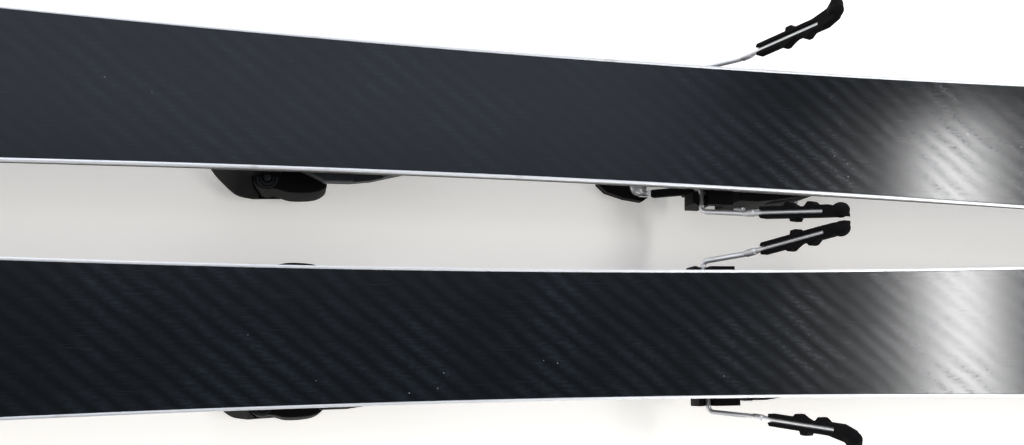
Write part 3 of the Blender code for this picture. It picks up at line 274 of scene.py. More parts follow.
def per_mm(size_mm):
    """The scale at which a pattern's features come out at this size."""
    return 1000.0 / size_mm


def waves_mm(length_mm):
    """The scale at which a wave texture repeats once in this length."""
    return math.tau / 20 * 1000.0 / length_mm


def patches(tree, place, size_mm, detail):
    """Soft random patches of about this size."""
    made = add(tree, "TexNoise", {"Scale": per_mm(size_mm), "Detail": detail}, {"Vector": place})
    return made.outputs["Fac"]


def streaks(tree, place, sizes_mm, detail):
    """Random patches stretched to a size along each axis."""
    way = turned(tree, place, scale=[per_mm(size) for size in sizes_mm])
    return add(tree, "TexNoise", {"Scale": 1.0, "Detail": detail}, {"Vector": way}).outputs["Fac"]


def set_colour(tree, shader, source):
    tree.links.new(source, shader.inputs["Base Color"])


def set_gloss(tree, shader, source, low, high):
    """A roughness that varies with a pattern."""
    tree.links.new(ranged(tree, source, 0.0, 1.0, low, high), shader.inputs["Roughness"])


def set_bump(tree, shader, height, strength, distance):
    """A relief that follows a pattern, on top of one that was set before."""
    before = [link.from_socket for link in shader.inputs["Normal"].links]
    made = add(tree, "Bump", {"Strength": strength, "Distance": distance}, {"Height": height})
    for socket in before:
        tree.links.new(socket, made.inputs["Normal"])
    tree.links.new(made.outputs[0], shader.inputs["Normal"])


# %% [markdown]
# The running base is sintered polyethylene, black with carbon, ground on a stone and waxed. The stone
# leaves a shallow diagonal structure, seen as stripes made of many short steps and broken up lengthwise,
# and hot wax leaves soft clouds in it. Skiing adds fine scratches along the ski, and storage adds specks
# of dust. A ground structure can be finer. This one is drawn as coarse as it reads in the photograph.

# %% Running base finish
STRUCTURE_TURN = math.radians(38.0)
STRUCTURE_SPACING_MM = 10.6
STEP_SPACING_MM = 5.2
STEP_DEPTH = 0.0012
UNBROKEN_MM = 1000.0
DASH_MM = (7.0, 1.5, UNBROKEN_MM)
SCRATCH_MM = (30.0, 0.5, UNBROKEN_MM)


def running_base_finish():
    finish, tree, shader, place = open_finish("waxed_sintered_polyethylene", 0.2)
    diagonal = turned(tree, place, turn=(0.0, 0.0, STRUCTURE_TURN))
    parts = add(tree, "SeparateXYZ", links={0: diagonal}).outputs
    steps = add(tree, "TexWave", {"Scale": waves_mm(STEP_SPACING_MM), "Distortion": 2.4, "Detail": 2.0},
                {"Vector": diagonal}, bands_direction="X", wave_profile="SAW")
    across = add(tree, "Math", {1: STEP_DEPTH}, {0: steps.outputs["Fac"], 2: parts["Y"]},
                 operation="MULTIPLY_ADD")
    stepped = add(tree, "CombineXYZ", links={0: parts["X"], 1: across.outputs[0]})
    stripes = add(tree, "TexWave", {"Scale": waves_mm(STRUCTURE_SPACING_MM), "Distortion": 1.6,
                                    "Detail": 2.0, "Detail Scale": 0.8}, {"Vector": stepped.outputs[0]},
                  bands_direction="Y")
    clouds = patches(tree, place, 60.0, 3.0)
    waxed = ranged(tree, clouds, 0.36, 0.60, 0.30, 1.0)
    broken = ranged(tree, streaks(tree, place, DASH_MM, 2.0), 0.34, 0.62, 0.30, 1.0)
    clumps = combined(tree, "MULTIPLY", broken, waxed)
    structure = combined(tree, "MULTIPLY", stripes.outputs["Fac"], clumps)
    scratches = streaks(tree, place, SCRATCH_MM, 4.0)
    thin = ranged(tree, scratches, 0.64, 0.70)
    specks = add(tree, "TexVoronoi", {"Scale": per_mm(9.0), "Randomness": 1.0}, {"Vector": place})
    dust = ranged(tree, specks.outputs["Distance"], 0.060, 0.035)
    dusty = combined(tree, "MULTIPLY", dust, ranged(tree, clouds, 0.56, 0.62))

    body = mixed(tree, structure, "#0e1215", "#1d2329")
    worn = mixed(tree, thin, body, "#22272c")
    set_colour(tree, shader, mixed(tree, dusty, worn, "#8d9194"))
    set_gloss(tree, shader, structure, 0.14, 0.20)
    set_bump(tree, shader, structure, 1.0, 0.000007)
    set_bump(tree, shader, scratches, 0.6, 0.00001)
    return finish


# %% [markdown]
# The edges are carbon steel, ground flush with the base and then filed and polished lengthwise. They are
# bright with a soft gloss, because the file marks scatter the light across the edge.

# %% Edge and metal finishes


def edge_steel_finish():
    finish, tree, shader, place = open_finish("filed_edge_steel", 0.4, metallic=1.0)
    marks = streaks(tree, place, (6.0, 0.35, 0.35), 3.0)
    rusty = ranged(tree, patches(tree, place, 22.0, 4.0), 0.66, 0.80, 0.0, 0.5)
    bright = mixed(tree, marks, "#eceeef", "#fbfcfc")
    set_colour(tree, shader, mixed(tree, rusty, bright, "#a39788"))
    set_gloss(tree, shader, marks, 0.46, 0.60)
    set_bump(tree, shader, marks, 0.3, 0.00001)
    return finish


def chrome_wire_finish():
    """Drawn spring wire with a bright satin plating, which scatters part of the light."""
    finish, tree, shader, place = open_finish("chromed_spring_wire", 0.4, metallic=0.8)
    mottle = patches(tree, place, 6.0, 2.0)
    set_colour(tree, shader, mixed(tree, mottle, "#f9fafa", "#fefefe"))
    set_gloss(tree, shader, mottle, 0.38, 0.46)
    return finish


def zinc_plate_finish():
    """Pressed steel plated with zinc: a cool grey with a fine crystal mottle."""
    finish, tree, shader, place = open_finish("zinc_plated_steel", 0.34, metallic=1.0)
    cells = add(tree, "TexVoronoi", {"Scale": per_mm(0.9)}, {"Vector": place}, feature="SMOOTH_F1")
    crystals = cells.outputs["Distance"]
    set_colour(tree, shader, mixed(tree, crystals, "#a2a5a8", "#bcbfc1"))
    set_gloss(tree, shader, crystals, 0.26, 0.42)
    set_bump(tree, shader, crystals, 0.2, 0.00001)
    return finish


# %% [markdown]
# The plastic parts of a binding are moulded in nylon filled with glass. The mould's fine sparked grain
# kills the gloss, the fibres mottle the black a little, and handling leaves dull scuffs. The glide strip
# is skived from a block of PTFE and the scales' marks are printed. Both show a fine grain too.

# %% Plastic finishes


def grained_plastic_finish(name, dark, pale, scuff, specular=0.5, gloss=(0.42, 0.60)):
    finish, tree, shader, place = open_finish(name, 0.5)
    shader.inputs["Specular IOR Level"].default_value = specular
    grain = patches(tree, place, 0.9, 2.0)
    mottle = patches(tree, place, 9.0, 4.0)
    rubbed = ranged(tree, mottle, 0.60, 0.74, 0.0, 0.6)
    set_colour(tree, shader, mixed(tree, rubbed, mixed(tree, grain, dark, pale), scuff))
    set_gloss(tree, shader, mottle, *gloss)
    set_bump(tree, shader, grain, 0.5, 0.00003)
    return finish


def smoked_lens_finish():
    """The release setting shows through a moulded polycarbonate lens, smoked grey and smooth."""
    finish, tree, shader, place = open_finish("smoked_polycarbonate_lens", 0.08, ior=1.58)
    smoke = patches(tree, place, 5.0, 2.0)
    set_colour(tree, shader, mixed(tree, smoke, "#17181a", "#24262a"))
    set_gloss(tree, shader, smoke, 0.05, 0.14)
    return finish


def sidewall_finish():
    """Sidewalls are sawn from ABS sheet and planed with the ski, which leaves fine lines along them."""
    finish, tree, shader, place = open_finish("planed_grey_abs", 0.42)
    lines = streaks(tree, place, (40.0, 0.6, 0.6), 3.0)
    set_colour(tree, shader, mixed(tree, lines, "#7c7e80", "#a2a4a5"))
    set_gloss(tree, shader, lines, 0.34, 0.52)
    set_bump(tree, shader, lines, 0.4, 0.00003)
    return finish


def topsheet_finish():
    """A polyamide film over woven glass: glossy black, with the weave showing faintly through it."""
    finish, tree, shader, place = open_finish("glossy_polyamide_film", 0.24)
    across = turned(tree, place, turn=(0.0, 0.0, math.radians(45.0)))
    weave = add(tree, "TexChecker", {"Color1": linear("#131417"), "Color2": linear("#1d1f23"),
                                     "Scale": per_mm(2.4)}, {"Vector": across})
    set_colour(tree, shader, mixed(tree, 0.25, weave.outputs["Color"], "#26282c"))
    set_gloss(tree, shader, patches(tree, place, 45.0, 5.0), 0.16, 0.34)
    shader.inputs["Coat Weight"].default_value = 0.5
    shader.inputs["Coat Roughness"].default_value = 0.12
    return finish


def laminated_wood_finish():
    """Strips of poplar and ash glued side by side, with their grain along the ski."""
    finish, tree, shader, place = open_finish("laminated_poplar_core", 0.55)
    strips = add(tree, "TexWave", {"Scale": waves_mm(12.0), "Distortion": 0.0}, {"Vector": place},
                 bands_direction="Y", wave_profile="SAW")
    grain = streaks(tree, place, (60.0, 1.2, 1.2), 5.0)
    pale = mixed(tree, grain, "#c8a874", "#dcc497")
    set_colour(tree, shader, mixed(tree, strips.outputs["Fac"], pale, "#b48f5c", blend_type="MULTIPLY"))
    set_bump(tree, shader, grain, 0.3, 0.00005)
    return finish


FINISH = {
    "base": running_base_finish(),
    "steel": edge_steel_finish(),
    "sidewall": sidewall_finish(),
    "wood": laminated_wood_finish(),
    "topsheet": topsheet_finish(),
    "black": grained_plastic_finish("moulded_black_nylon", "#060607", "#0d0d0e", "#19191b", 0.10,
                                    (0.56, 0.74)),
    "grey": grained_plastic_finish("moulded_grey_nylon", "#1f2124", "#2d2f32", "#3b3d40", 0.20),
    "chrome": chrome_wire_finish(),
    "zinc": zinc_plate_finish(),
    "ptfe": grained_plastic_finish("skived_ptfe_sheet", "#d2d2cd", "#e6e6e2", "#b4b4af"),
    "lens": smoked_lens_finish(),
    "print": grained_plastic_finish("printed_scale_ink", "#d4d2c8", "#e6e4dc", "#b8b5aa"),
}
print("finishes", ", ".join(m.name for m in FINISH.values()))

# %% [markdown]
# Both skis are built in one ski's own frame, with +X to the tail, +Y to the pair's outer side and +Z out
# of the base, and the right ski is the mirror image of the left. The sizes below are the model's own.

# %% The two skis' frames
PAIR_SPACING = 0.1501
PAIR_CONVERGENCE = math.radians(1.66)
TIP_REACH = 0.930
TAIL_REACH = 0.780
TAIL_END_WIDTH = 0.066
SIDES = {"left": 1, "right": -1}
FLANKS = ((1, "outer"), (-1, "inner"))


def boot_centre_x():
    turn = PAIR_CONVERGENCE / 2
    back = TAIL_REACH * math.cos(turn) + TAIL_END_WIDTH / 2 * math.sin(turn)
    return (TIP_REACH * math.cos(turn) - back) / 2


def ski_frame(prefix):
    """From one ski's own frame to the row's. The right ski's holds a mirror image."""
    outward = SIDES[prefix]
    place = Matrix.Translation((boot_centre_x(), outward * PAIR_SPACING / 2, SKI_TOP_HEIGHT))
    turn = Matrix.Rotation(-outward * PAIR_CONVERGENCE / 2, 4, "Z")
    return place @ turn @ Matrix.Diagonal((1.0, outward, 1.0, 1.0))


def finished_piece(prefix, name, builder, body, slot, replaces=(), smooth_angle=35.0, finish=None):
    """A bmesh drawn in the ski's frame, as an object of the pair that rides on its body."""
    bmesh.ops.transform(builder, matrix=ski_frame(prefix), verts=builder.verts)
    bmesh.ops.recalc_face_normals(builder, faces=builder.faces)
    return placed_piece(prefix, name, builder, body, slot, replaces, smooth_angle, finish)


def placed_piece(prefix, name, builder, body, slot, replaces, smooth_angle, finish=None):
    mesh = bpy.data.meshes.new(f"{prefix}_{name}")
    builder.to_mesh(mesh)
    builder.free()
    mesh.materials.append(FINISH[finish or slot])
    mesh.shade_smooth()
    mesh.set_sharp_from_angle(angle=math.radians(smooth_angle))
    piece = bpy.data.objects.new(f"{prefix}_{name}", mesh)
    bpy.context.scene.collection.objects.link(piece)
    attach(piece, f"{prefix}_{body}")
    if replaces:
        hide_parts(*[f"{prefix}_{node}" for node in replaces])
    return piece


# %% [markdown]
# A ski's layers are long bars that follow the sidecut, the camber and the upturned tip. Each could be
# lofted from sections, but it is simpler to cut a straight bar into many short lengths and then bend it:
# every point of the bar is a place along the ski, a distance in from the edge and a depth from the base.

# %% Ski outline and side view
WAIST_WIDTH = 0.088
WAIST_SETBACK = 0.0763
SIDECUT_RADIUS = 13.75
SHOVEL_REACH = 0.735
SHOVEL_BLEND = 0.075
TAIL_FLARE_REACH = 0.690
TAIL_FLARE_BLEND = 0.060
TIP_FULLNESS = 2.4
TIP_ROUNDNESS = 0.70
TAIL_FULLNESS = 2.6
TAIL_ROUNDNESS = 0.60
CAMBER = 0.0036
CAMBER_REACH = 0.650
TIP_CONTACT_REACH = 0.600
TIP_RISE = 0.068
TAIL_CONTACT_REACH = 0.660
TAIL_RISE = 0.014
SKI_THICKNESS = 0.014
END_THICKNESS = 0.0052
PLATFORM_REACH = 0.270
SLOPE_STEP = 1e-5
CLEARANCE = 0.0003


def sidecut_half_width(x):
    return WAIST_WIDTH / 2 + (x - WAIST_SETBACK) ** 2 / (2 * SIDECUT_RADIUS)


def flare_half_width(x, start, blend):
    run = min(abs(x - start), blend)
    slope = abs(start - WAIST_SETBACK) / SIDECUT_RADIUS
    return sidecut_half_width(start) + slope * (run - run**2 / (2 * blend))


def half_width(x):
    shovel_start = -SHOVEL_REACH + SHOVEL_BLEND
    tail_start = TAIL_FLARE_REACH - TAIL_FLARE_BLEND
    if x < -SHOVEL_REACH:
        share = min((-SHOVEL_REACH - x) / (TIP_REACH - SHOVEL_REACH), 1.0)
        return flare_half_width(-SHOVEL_REACH, shovel_start, SHOVEL_BLEND) * (
            1 - share**TIP_FULLNESS) ** TIP_ROUNDNESS
    if x < shovel_start:
        return flare_half_width(x, shovel_start, SHOVEL_BLEND)
    if x < tail_start:
        return sidecut_half_width(x)
    widest = flare_half_width(min(x, TAIL_FLARE_REACH), tail_start, TAIL_FLARE_BLEND)
    share = min(max(x - TAIL_FLARE_REACH, 0.0) / (TAIL_REACH - TAIL_FLARE_REACH), 1.0)
    end = TAIL_END_WIDTH / 2
    return end + (widest - end) * (1 - share**TAIL_FULLNESS) ** TAIL_ROUNDNESS


def base_height(x):
    height = CAMBER * ((x - WAIST_SETBACK) / CAMBER_REACH) ** 2
    if x < -TIP_CONTACT_REACH:
        height -= TIP_RISE * ((-TIP_CONTACT_REACH - x) / (TIP_REACH - TIP_CONTACT_REACH)) ** 2
    if x > TAIL_CONTACT_REACH:
        height -= TAIL_RISE * ((x - TAIL_CONTACT_REACH) / (TAIL_REACH - TAIL_CONTACT_REACH)) ** 2
    return height


def ski_thickness(x):
    reach = TIP_REACH if x < 0 else TAIL_REACH
    share = max(abs(x) - PLATFORM_REACH, 0.0) / (reach - PLATFORM_REACH)
    return SKI_THICKNESS - (SKI_THICKNESS - END_THICKNESS) * math.sin(share * math.pi / 2)


def outline_point(x, inset):
    """The +Y side of the outline at a place along the ski, moved in square to the outline."""
    if x <= -TIP_REACH:
        return (-TIP_REACH + inset, 0.0)
    slope = (half_width(x + SLOPE_STEP) - half_width(x - SLOPE_STEP)) / (2 * SLOPE_STEP)
    length = math.hypot(1.0, slope)
    if x > 0:
        return (x, half_width(x) - inset * length)
    return (x + inset * slope / length, half_width(x) - inset / length)


# %% [markdown]
# The bar is a cube that is cut across at many places and, for the steel edges, bevelled along its long
# sides. Its X runs from 0 at the tail to 1 at the middle of the tip, with the cuts closer together where
# the outline turns quickly.

# %% Bars and layers
TAIL_GUARD_LENGTH = 0.012
EDGE_WIDTH = 0.0020
EDGE_HEIGHT = 0.0020
SIDEWALL_WIDTH = 0.0050
SIDEWALL_LEAN = 0.0010
BASE_SHEET_THICKNESS = 0.0013
TOPSHEET_THICKNESS = 0.0010
LENGTH_CUTS = 180
EDGE_BEVEL_SHARE = 0.08
PLACE_EASE = 0.6


def rounded_off(builder, edges, width, segments=2):
    """Bevels edges by a width, with round steps."""
    bmesh.ops.bevel(builder, geom=edges, offset=width, segments=segments, affect="EDGES", profile=0.5,
                    material=-1, clamp_overlap=True)


def flipped(builder, side):
    """A shape drawn on the outer side, mirrored for the inner one."""
    bmesh.ops.scale(builder, vec=(1.0, side, 1.0), verts=builder.verts)
    return builder


def place_along(share):
    """From 0 at the tail guard to 1 at the tip, slowing down towards both ends."""
    tail = TAIL_REACH - TAIL_GUARD_LENGTH
    eased = 0.5 - math.cos(math.pi * share) / 2
    even = share * (1 - PLACE_EASE) + eased * PLACE_EASE
    return tail - (tail + TIP_REACH) * even


def straight_bar(cuts, bevel=0.0):
    """A closed bar from X 0 to 1, Y 0 to 1 and Z 0 to 1, cut across into short lengths."""
    builder = bmesh.new()
    bmesh.ops.create_cube(builder, size=1.0, matrix=Matrix.Translation((0.5, 0.5, 0.5)))
    if bevel:
        long_edges = [e for e in builder.edges if abs(e.verts[0].co.x - e.verts[1].co.x) > 0.5]
        rounded_off(builder, long_edges, bevel)
    long_edges = [e for e in builder.edges if abs(e.verts[0].co.x - e.verts[1].co.x) > 0.5]
    bmesh.ops.subdivide_edges(builder, edges=long_edges, cuts=cuts, use_grid_fill=True)
    return builder


def side_layer(builder, outer, inner, upper, lower, lean=0.0):
    """Bends a bar into a strip along the +Y side, between two distances in from the edge."""
    for vert in builder.verts:
        x = place_along(vert.co.x)
        depth_share = vert.co.z
        inset = inner + (outer - inner) * vert.co.y
        if vert.co.y > 0.5:
            inset += lean * (1 - depth_share)
        px, py = outline_point(x, inset)
        depth = lower(x) + (upper(x) - lower(x)) * depth_share
        vert.co = (px, max(py, CLEARANCE / 2), base_height(px) - depth)


def wide_layer(builder, inset, upper, lower):
    """Bends a bar into a layer across the whole ski."""
    for vert in builder.verts:
        x = place_along(vert.co.x)
        px, py = outline_point(x, inset)
        depth = lower(x) + (upper(x) - lower(x)) * vert.co.z
        vert.co = (px, (vert.co.y * 2 - 1) * max(py, CLEARANCE), base_height(px) - depth)


def make_ski_layers(prefix):
    sheet = straight_bar(LENGTH_CUTS)
    wide_layer(sheet, EDGE_WIDTH + CLEARANCE, lambda x: 0.0, lambda x: BASE_SHEET_THICKNESS)
    finished_piece(prefix, "running_base", sheet, "ski", "base", ["base_sheet"])

    film = straight_bar(LENGTH_CUTS)
    wide_layer(film, SIDEWALL_LEAN, lambda x: ski_thickness(x) - TOPSHEET_THICKNESS, ski_thickness)
    finished_piece(prefix, "top_film", film, "ski", "topsheet", ["topsheet"])

    for side, label in FLANKS:
        steel = straight_bar(LENGTH_CUTS, bevel=EDGE_BEVEL_SHARE)
        side_layer(steel, 0.0, EDGE_WIDTH, lambda x: 0.0, lambda x: EDGE_HEIGHT)
        finished_piece(prefix, f"steel_edge_{label}", flipped(steel, side), "ski", "steel",
                       [f"edge_{label}"], 50.0)

        wall = straight_bar(LENGTH_CUTS)
        side_layer(wall, CLEARANCE, SIDEWALL_WIDTH, lambda x: EDGE_HEIGHT + CLEARANCE,
                   lambda x: ski_thickness(x) - TOPSHEET_THICKNESS - CLEARANCE, SIDEWALL_LEAN)
        finished_piece(prefix, f"planed_sidewall_{label}", flipped(wall, side), "ski", "sidewall",
                       [f"sidewall_{label}"])


for ski in SIDES:
    make_ski_layers(ski)
    low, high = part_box(f"{ski}_base_sheet")
    print(ski, "base", [round(v, 4) for v in low], [round(v, 4) for v in high])

# %% [markdown]
# The solids of the binding already have the right shapes, but a moulded part has no knife edges. A copy
# of a solid is merged, its flat parts are joined into whole faces, and its sharp edges are bevelled, with
# the shading weighted to the large faces so that they stay flat. The brake wire lies in a saddle at each
# side of the brake's base. The saddle's mouth is widened towards the ski, where the wire is seen in it.

# %% Softened copies of the binding's solids
SHARP_ANGLE = math.radians(32.0)
FLAT_ANGLE = math.radians(0.8)
MERGE_DISTANCE = 1e-6
SADDLE_FRONT_X = 0.1495
SADDLE_TOP_Z = -0.0385
SADDLE_INNER_Y = 0.040
SADDLE_MOUTH_LEAN = 0.0065


def open_saddles(builder, prefix):
    """Leans each saddle's front wall forward, so that the wire can drop in from the ski's side."""
    to_ski = ski_frame(prefix).inverted()
    corners = []
    for vert in builder.verts:
        x, y, z = to_ski @ vert.co
        if abs(x - SADDLE_FRONT_X) < CLEARANCE and z > SADDLE_TOP_Z and abs(y) > SADDLE_INNER_Y:
            corners.append(vert)
    forward = ski_frame(prefix).to_3x3() @ Vector((-SADDLE_MOUTH_LEAN, 0.0, 0.0))
    bmesh.ops.translate(builder, vec=forward, verts=corners)
    print(prefix, len(corners), "saddle corners leaned")


def softened(prefix, node, name, body, slot, width):
    builder = bmesh.new()
    builder.from_mesh(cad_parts[f"{prefix}_{node}"].data)
    bmesh.ops.remove_doubles(builder, verts=builder.verts, dist=MERGE_DISTANCE)
    bmesh.ops.dissolve_limit(builder, angle_limit=FLAT_ANGLE, verts=builder.verts, edges=builder.edges)
    if node == "brake_base":
        open_saddles(builder, prefix)
    sharp = [e for e in builder.edges if len(e.link_faces) == 2 and e.calc_face_angle() > SHARP_ANGLE]
    rounded_off(builder, sharp, width)
    bmesh.ops.recalc_face_normals(builder, faces=builder.faces)
    piece = placed_piece(prefix, name, builder, body, slot, [node], 60.0)
    piece.modifiers.new("Face weighted normals", "WEIGHTED_NORMAL").keep_sharp = True
    return piece


MOULDED = [
    ("tail_protector", "tail_guard", "ski", "black", 0.0006),
    ("toe_baseplate", "toe_plate", "ski", "black", 0.0006),
    ("toe_housing", "toe_shell", "ski", "black", 0.0010),
    ("toe_release_screw", "toe_setting_screw", "toe_screw_body", "zinc", 0.0003),
    ("toe_wing_outer", "toe_claw_outer", "toe_wing_outer_body", "black", 0.0003),
    ("toe_wing_inner", "toe_claw_inner", "toe_wing_inner_body", "black", 0.0003),
    ("afd_plate", "sliding_plate", "afd_body", "grey", 0.0003),
    ("heel_track", "heel_rail", "ski", "black", 0.0006),
    ("heel_carriage", "heel_slider", "heel_body", "zinc", 0.0003),
    ("heel_housing", "heel_shell", "heel_body", "black", 0.0010),
    ("heel_release_screw", "heel_setting_screw", "heel_screw_body", "zinc", 0.0003),
    ("heel_cup", "heel_jaw", "heel_cup_body", "black", 0.0010),
    ("heel_lever", "opening_lever", "heel_lever_body", "grey", 0.0006),
    ("brake_base", "brake_bracket", "heel_body", "black", 0.0008),
    ("brake_pad_outer", "brake_tip_outer", "brake_arms", "black", 0.0009),
    ("brake_pad_inner", "brake_tip_inner", "brake_arms", "black", 0.0009),
    ("brake_pedal", "boot_pedal", "brake_pedal_body", "black", 0.0008),
]
for ski in SIDES:
    for node, name, body, slot, width in MOULDED:
        softened(ski, node, name, body, slot, width)
print(len(MOULDED) * 2, "softened pieces")

# %% [markdown]
# The small parts are turned or pressed: screw and pin heads, washers, ribs and bars. A few shapes make
# them all. Each is drawn about the Z axis at the origin and then seated at its place in the ski's frame.
# A cross recess could be cut with a Boolean, but a cap that is cut into parts can simply be pushed in.

# %% Turned and pressed shapes
ROUND_SEGMENTS = 32
CORNER_SEGMENTS = 6


def drum(radius, depth, rim=0.0003):
    """A closed round disc with softened rims."""
    builder = bmesh.new()
    bmesh.ops.create_cone(builder, cap_ends=True, segments=ROUND_SEGMENTS, radius1=radius, radius2=radius,
                          depth=depth)
    rims = [e for e in builder.edges if abs(e.verts[0].co.z - e.verts[1].co.z) < MERGE_DISTANCE]
    rounded_off(builder, rims, rim)
    return builder


def ring(outer, inner, depth):
    """A flat washer, spun from a square section."""
    builder = bmesh.new()
    section = Matrix.Translation(((outer + inner) / 2, 0.0, 0.0)) @ Matrix.Rotation(math.pi / 2, 4, "X")
    square = bmesh.ops.create_grid(builder, x_segments=1, y_segments=1, size=0.5,
                                   matrix=section @ Matrix.Diagonal((outer - inner, depth, 1.0, 1.0)))
    bmesh.ops.delete(builder, geom=builder.faces[:], context="FACES_ONLY")
    bmesh.ops.spin(builder, geom=square["verts"] + builder.edges[:], axis=(0.0, 0.0, 1.0),
                   cent=(0.0, 0.0, 0.0), steps=ROUND_SEGMENTS, angle=math.tau, use_merge=True)
    bmesh.ops.remove_doubles(builder, verts=builder.verts, dist=MERGE_DISTANCE)
    return builder


def bars(blocks, rim=0.0002):
    """Bars with softened edges, from their middles and sizes."""
    builder = bmesh.new()
    for middle, size in blocks:
        bmesh.ops.create_cube(builder, size=1.0,
                              matrix=Matrix.Translation(middle) @ Matrix.Diagonal((*size, 1.0)))
    rounded_off(builder, builder.edges[:], rim)
    return builder


def rounded_plate(middle, size, corner, rim):
    """A flat plate with round corners and softened edges."""
    builder = bmesh.new()
    bmesh.ops.create_cube(builder, size=1.0, matrix=Matrix.Diagonal((*size, 1.0)))
    upright = [e for e in builder.edges if abs(e.verts[0].co.z - e.verts[1].co.z) > size[2] / 2]
    rounded_off(builder, upright, corner, CORNER_SEGMENTS)
    level = [e for e in builder.edges if abs(e.verts[0].co.z - e.verts[1].co.z) < MERGE_DISTANCE]
    rounded_off(builder, level, rim)
    bmesh.ops.translate(builder, vec=middle, verts=builder.verts)
    return builder


def cross_recess(builder, reach, width, depth):
    """Cuts the upper cap into parts and pushes a cross of them in."""
    top = max(vert.co.z for vert in builder.verts)
    for axis in (Vector((1.0, 0.0, 0.0)), Vector((0.0, 1.0, 0.0))):
        for offset in (-reach, -width, width, reach):
            bmesh.ops.bisect_plane(builder, geom=builder.verts[:] + builder.edges[:] + builder.faces[:],
                                   plane_co=axis * offset, plane_no=axis)
    arms = []
    for face in builder.faces:
        x, y, z = face.calc_center_median()
        if z > top - MERGE_DISTANCE and min(abs(x), abs(y)) < width and max(abs(x), abs(y)) < reach:
            arms.append(face)
    sunk = bmesh.ops.extrude_face_region(builder, geom=arms)["geom"]
    bmesh.ops.translate(builder, vec=(0.0, 0.0, -depth),
                        verts=[v for v in sunk if isinstance(v, bmesh.types.BMVert)])
    return builder


def seated(builder, middle, axis=(0.0, 0.0, 1.0)):
    """Turns a shape from the Z axis to another and moves it to its place."""
    turn = Vector((0.0, 0.0, 1.0)).rotation_difference(Vector(axis)).to_matrix().to_4x4()
    bmesh.ops.transform(builder, matrix=Matrix.Translation(middle) @ turn, verts=builder.verts)
    return builder


# %% [markdown]
# Eight countersunk screws hold the toe plate and the heel track, with their heads just below the surface.
# The jaw's pin and the lever's pin end in riveted heads on the housing's two sides. Each wing turns on a
# pin with a washer round it, which is what shows of the toe piece beside the ski.

# %% Screws, pins and washers
FLOOR_Z = -SKI_TOP_HEIGHT
PLATE_BOTTOM_Z = -0.0263
TRACK_FOOT_Z = -0.0183
PLATE_SCREWS = [(x, y) for x in (-0.14625, -0.076) for y in (-0.028, 0.028)]
TRACK_SCREWS = [(x, y) for x in (0.114, 0.252) for y in (-0.030, 0.030)]
# Each set's places, the height of its heads' middle, a head's radius and depth, and its cross's reach,
# half width and depth.
SCREW_SETS = {
    "toe_plate_screw": (PLATE_SCREWS, PLATE_BOTTOM_Z + 0.0015, (0.0047, 0.0026), (0.0030, 0.0007, 0.0014)),
    "heel_track_screw": (TRACK_SCREWS, TRACK_FOOT_Z + 0.0013, (0.0026, 0.0024), (0.0018, 0.0005, 0.0012)),
}
WING_PIVOT = (-0.162, 0.0432)
WING_TOP_Z = FLOOR_Z + 0.0375
PIVOT_PIN_TOP_Z = WING_TOP_Z + 0.0024
CLAW_RINGS = {"claw_washer": (0.0074, 0.0060), "claw_collar": (0.0050, 0.0036)}
CLAW_RING_DEPTH = 0.00024
CLAW_RING_LIFT = 0.00013
CLAW_CAP = {"radius": 0.0026, "depth": 0.0006, "rim": 0.0002}
CLAW_CAP_LIFT = 0.0002
HEEL_PIN_HEADS = {"jaw_pin_head": ((0.192, 0.0465, -0.0665), 0.0046),
                  "lever_pin_head": ((0.240, 0.0382, -0.076), 0.0044)}
PIN_HEAD_DEPTH = 0.0024
PIN_HEAD_RIM = 0.0007


def make_screws(prefix):
    for name, (places, height, head_size, cross) in SCREW_SETS.items():
        for number, (x, y) in enumerate(places, 1):
            head = seated(cross_recess(drum(*head_size), *cross), (x, y, height), (0.0, 0.0, -1.0))
            finished_piece(prefix, f"{name}_{number}", head, "ski", "zinc")


def make_pins(prefix):
    pivot_x, pivot_y = WING_PIVOT
    for side, label in FLANKS:
        for name, ((x, y, z), radius) in HEEL_PIN_HEADS.items():
            head = drum(radius, PIN_HEAD_DEPTH, PIN_HEAD_RIM)
            finished_piece(prefix, f"{name}_{label}", seated(head, (x, side * y, z), (0.0, side, 0.0)),
                           "heel_body", "zinc")
        for name, (outer, inner) in CLAW_RINGS.items():
            washer = ring(outer, inner, CLAW_RING_DEPTH)
            seated(washer, (pivot_x, side * pivot_y, WING_TOP_Z + CLAW_RING_LIFT))
            finished_piece(prefix, f"{name}_{label}", washer, f"toe_wing_{label}_body", "grey")
        cap = seated(drum(**CLAW_CAP), (pivot_x, side * pivot_y, PIVOT_PIN_TOP_Z + CLAW_CAP_LIFT))
        finished_piece(prefix, f"claw_pin_cap_{label}", cap, "ski", "grey")


for ski in SIDES:
    make_screws(ski)
    make_pins(ski)
print(len(PLATE_SCREWS + TRACK_SCREWS), "screws and", len(HEEL_PIN_HEADS) * 2, "pin heads a ski")

# %% [markdown]
# Each brake arm is one spring wire, bent four times. It could be a curve with a round bevel, but a circle
# pushed along the bends step by step gives even faces. A plastic guide sits on the wire's slanted leg.
# Before the plastic tip the wire is swaged, so a thicker bright length shows there. The tip ends in a
# rounded bulb that slides on the snow without catching. The pedal turns on the wires' inner ends under a
# domed chrome cap on each side. The pedal, the jaw, the opening lever, the friction plate and the heel
# piece's sides have ribs, for grip or as trim, and the friction plate has a slippery strip in the middle.

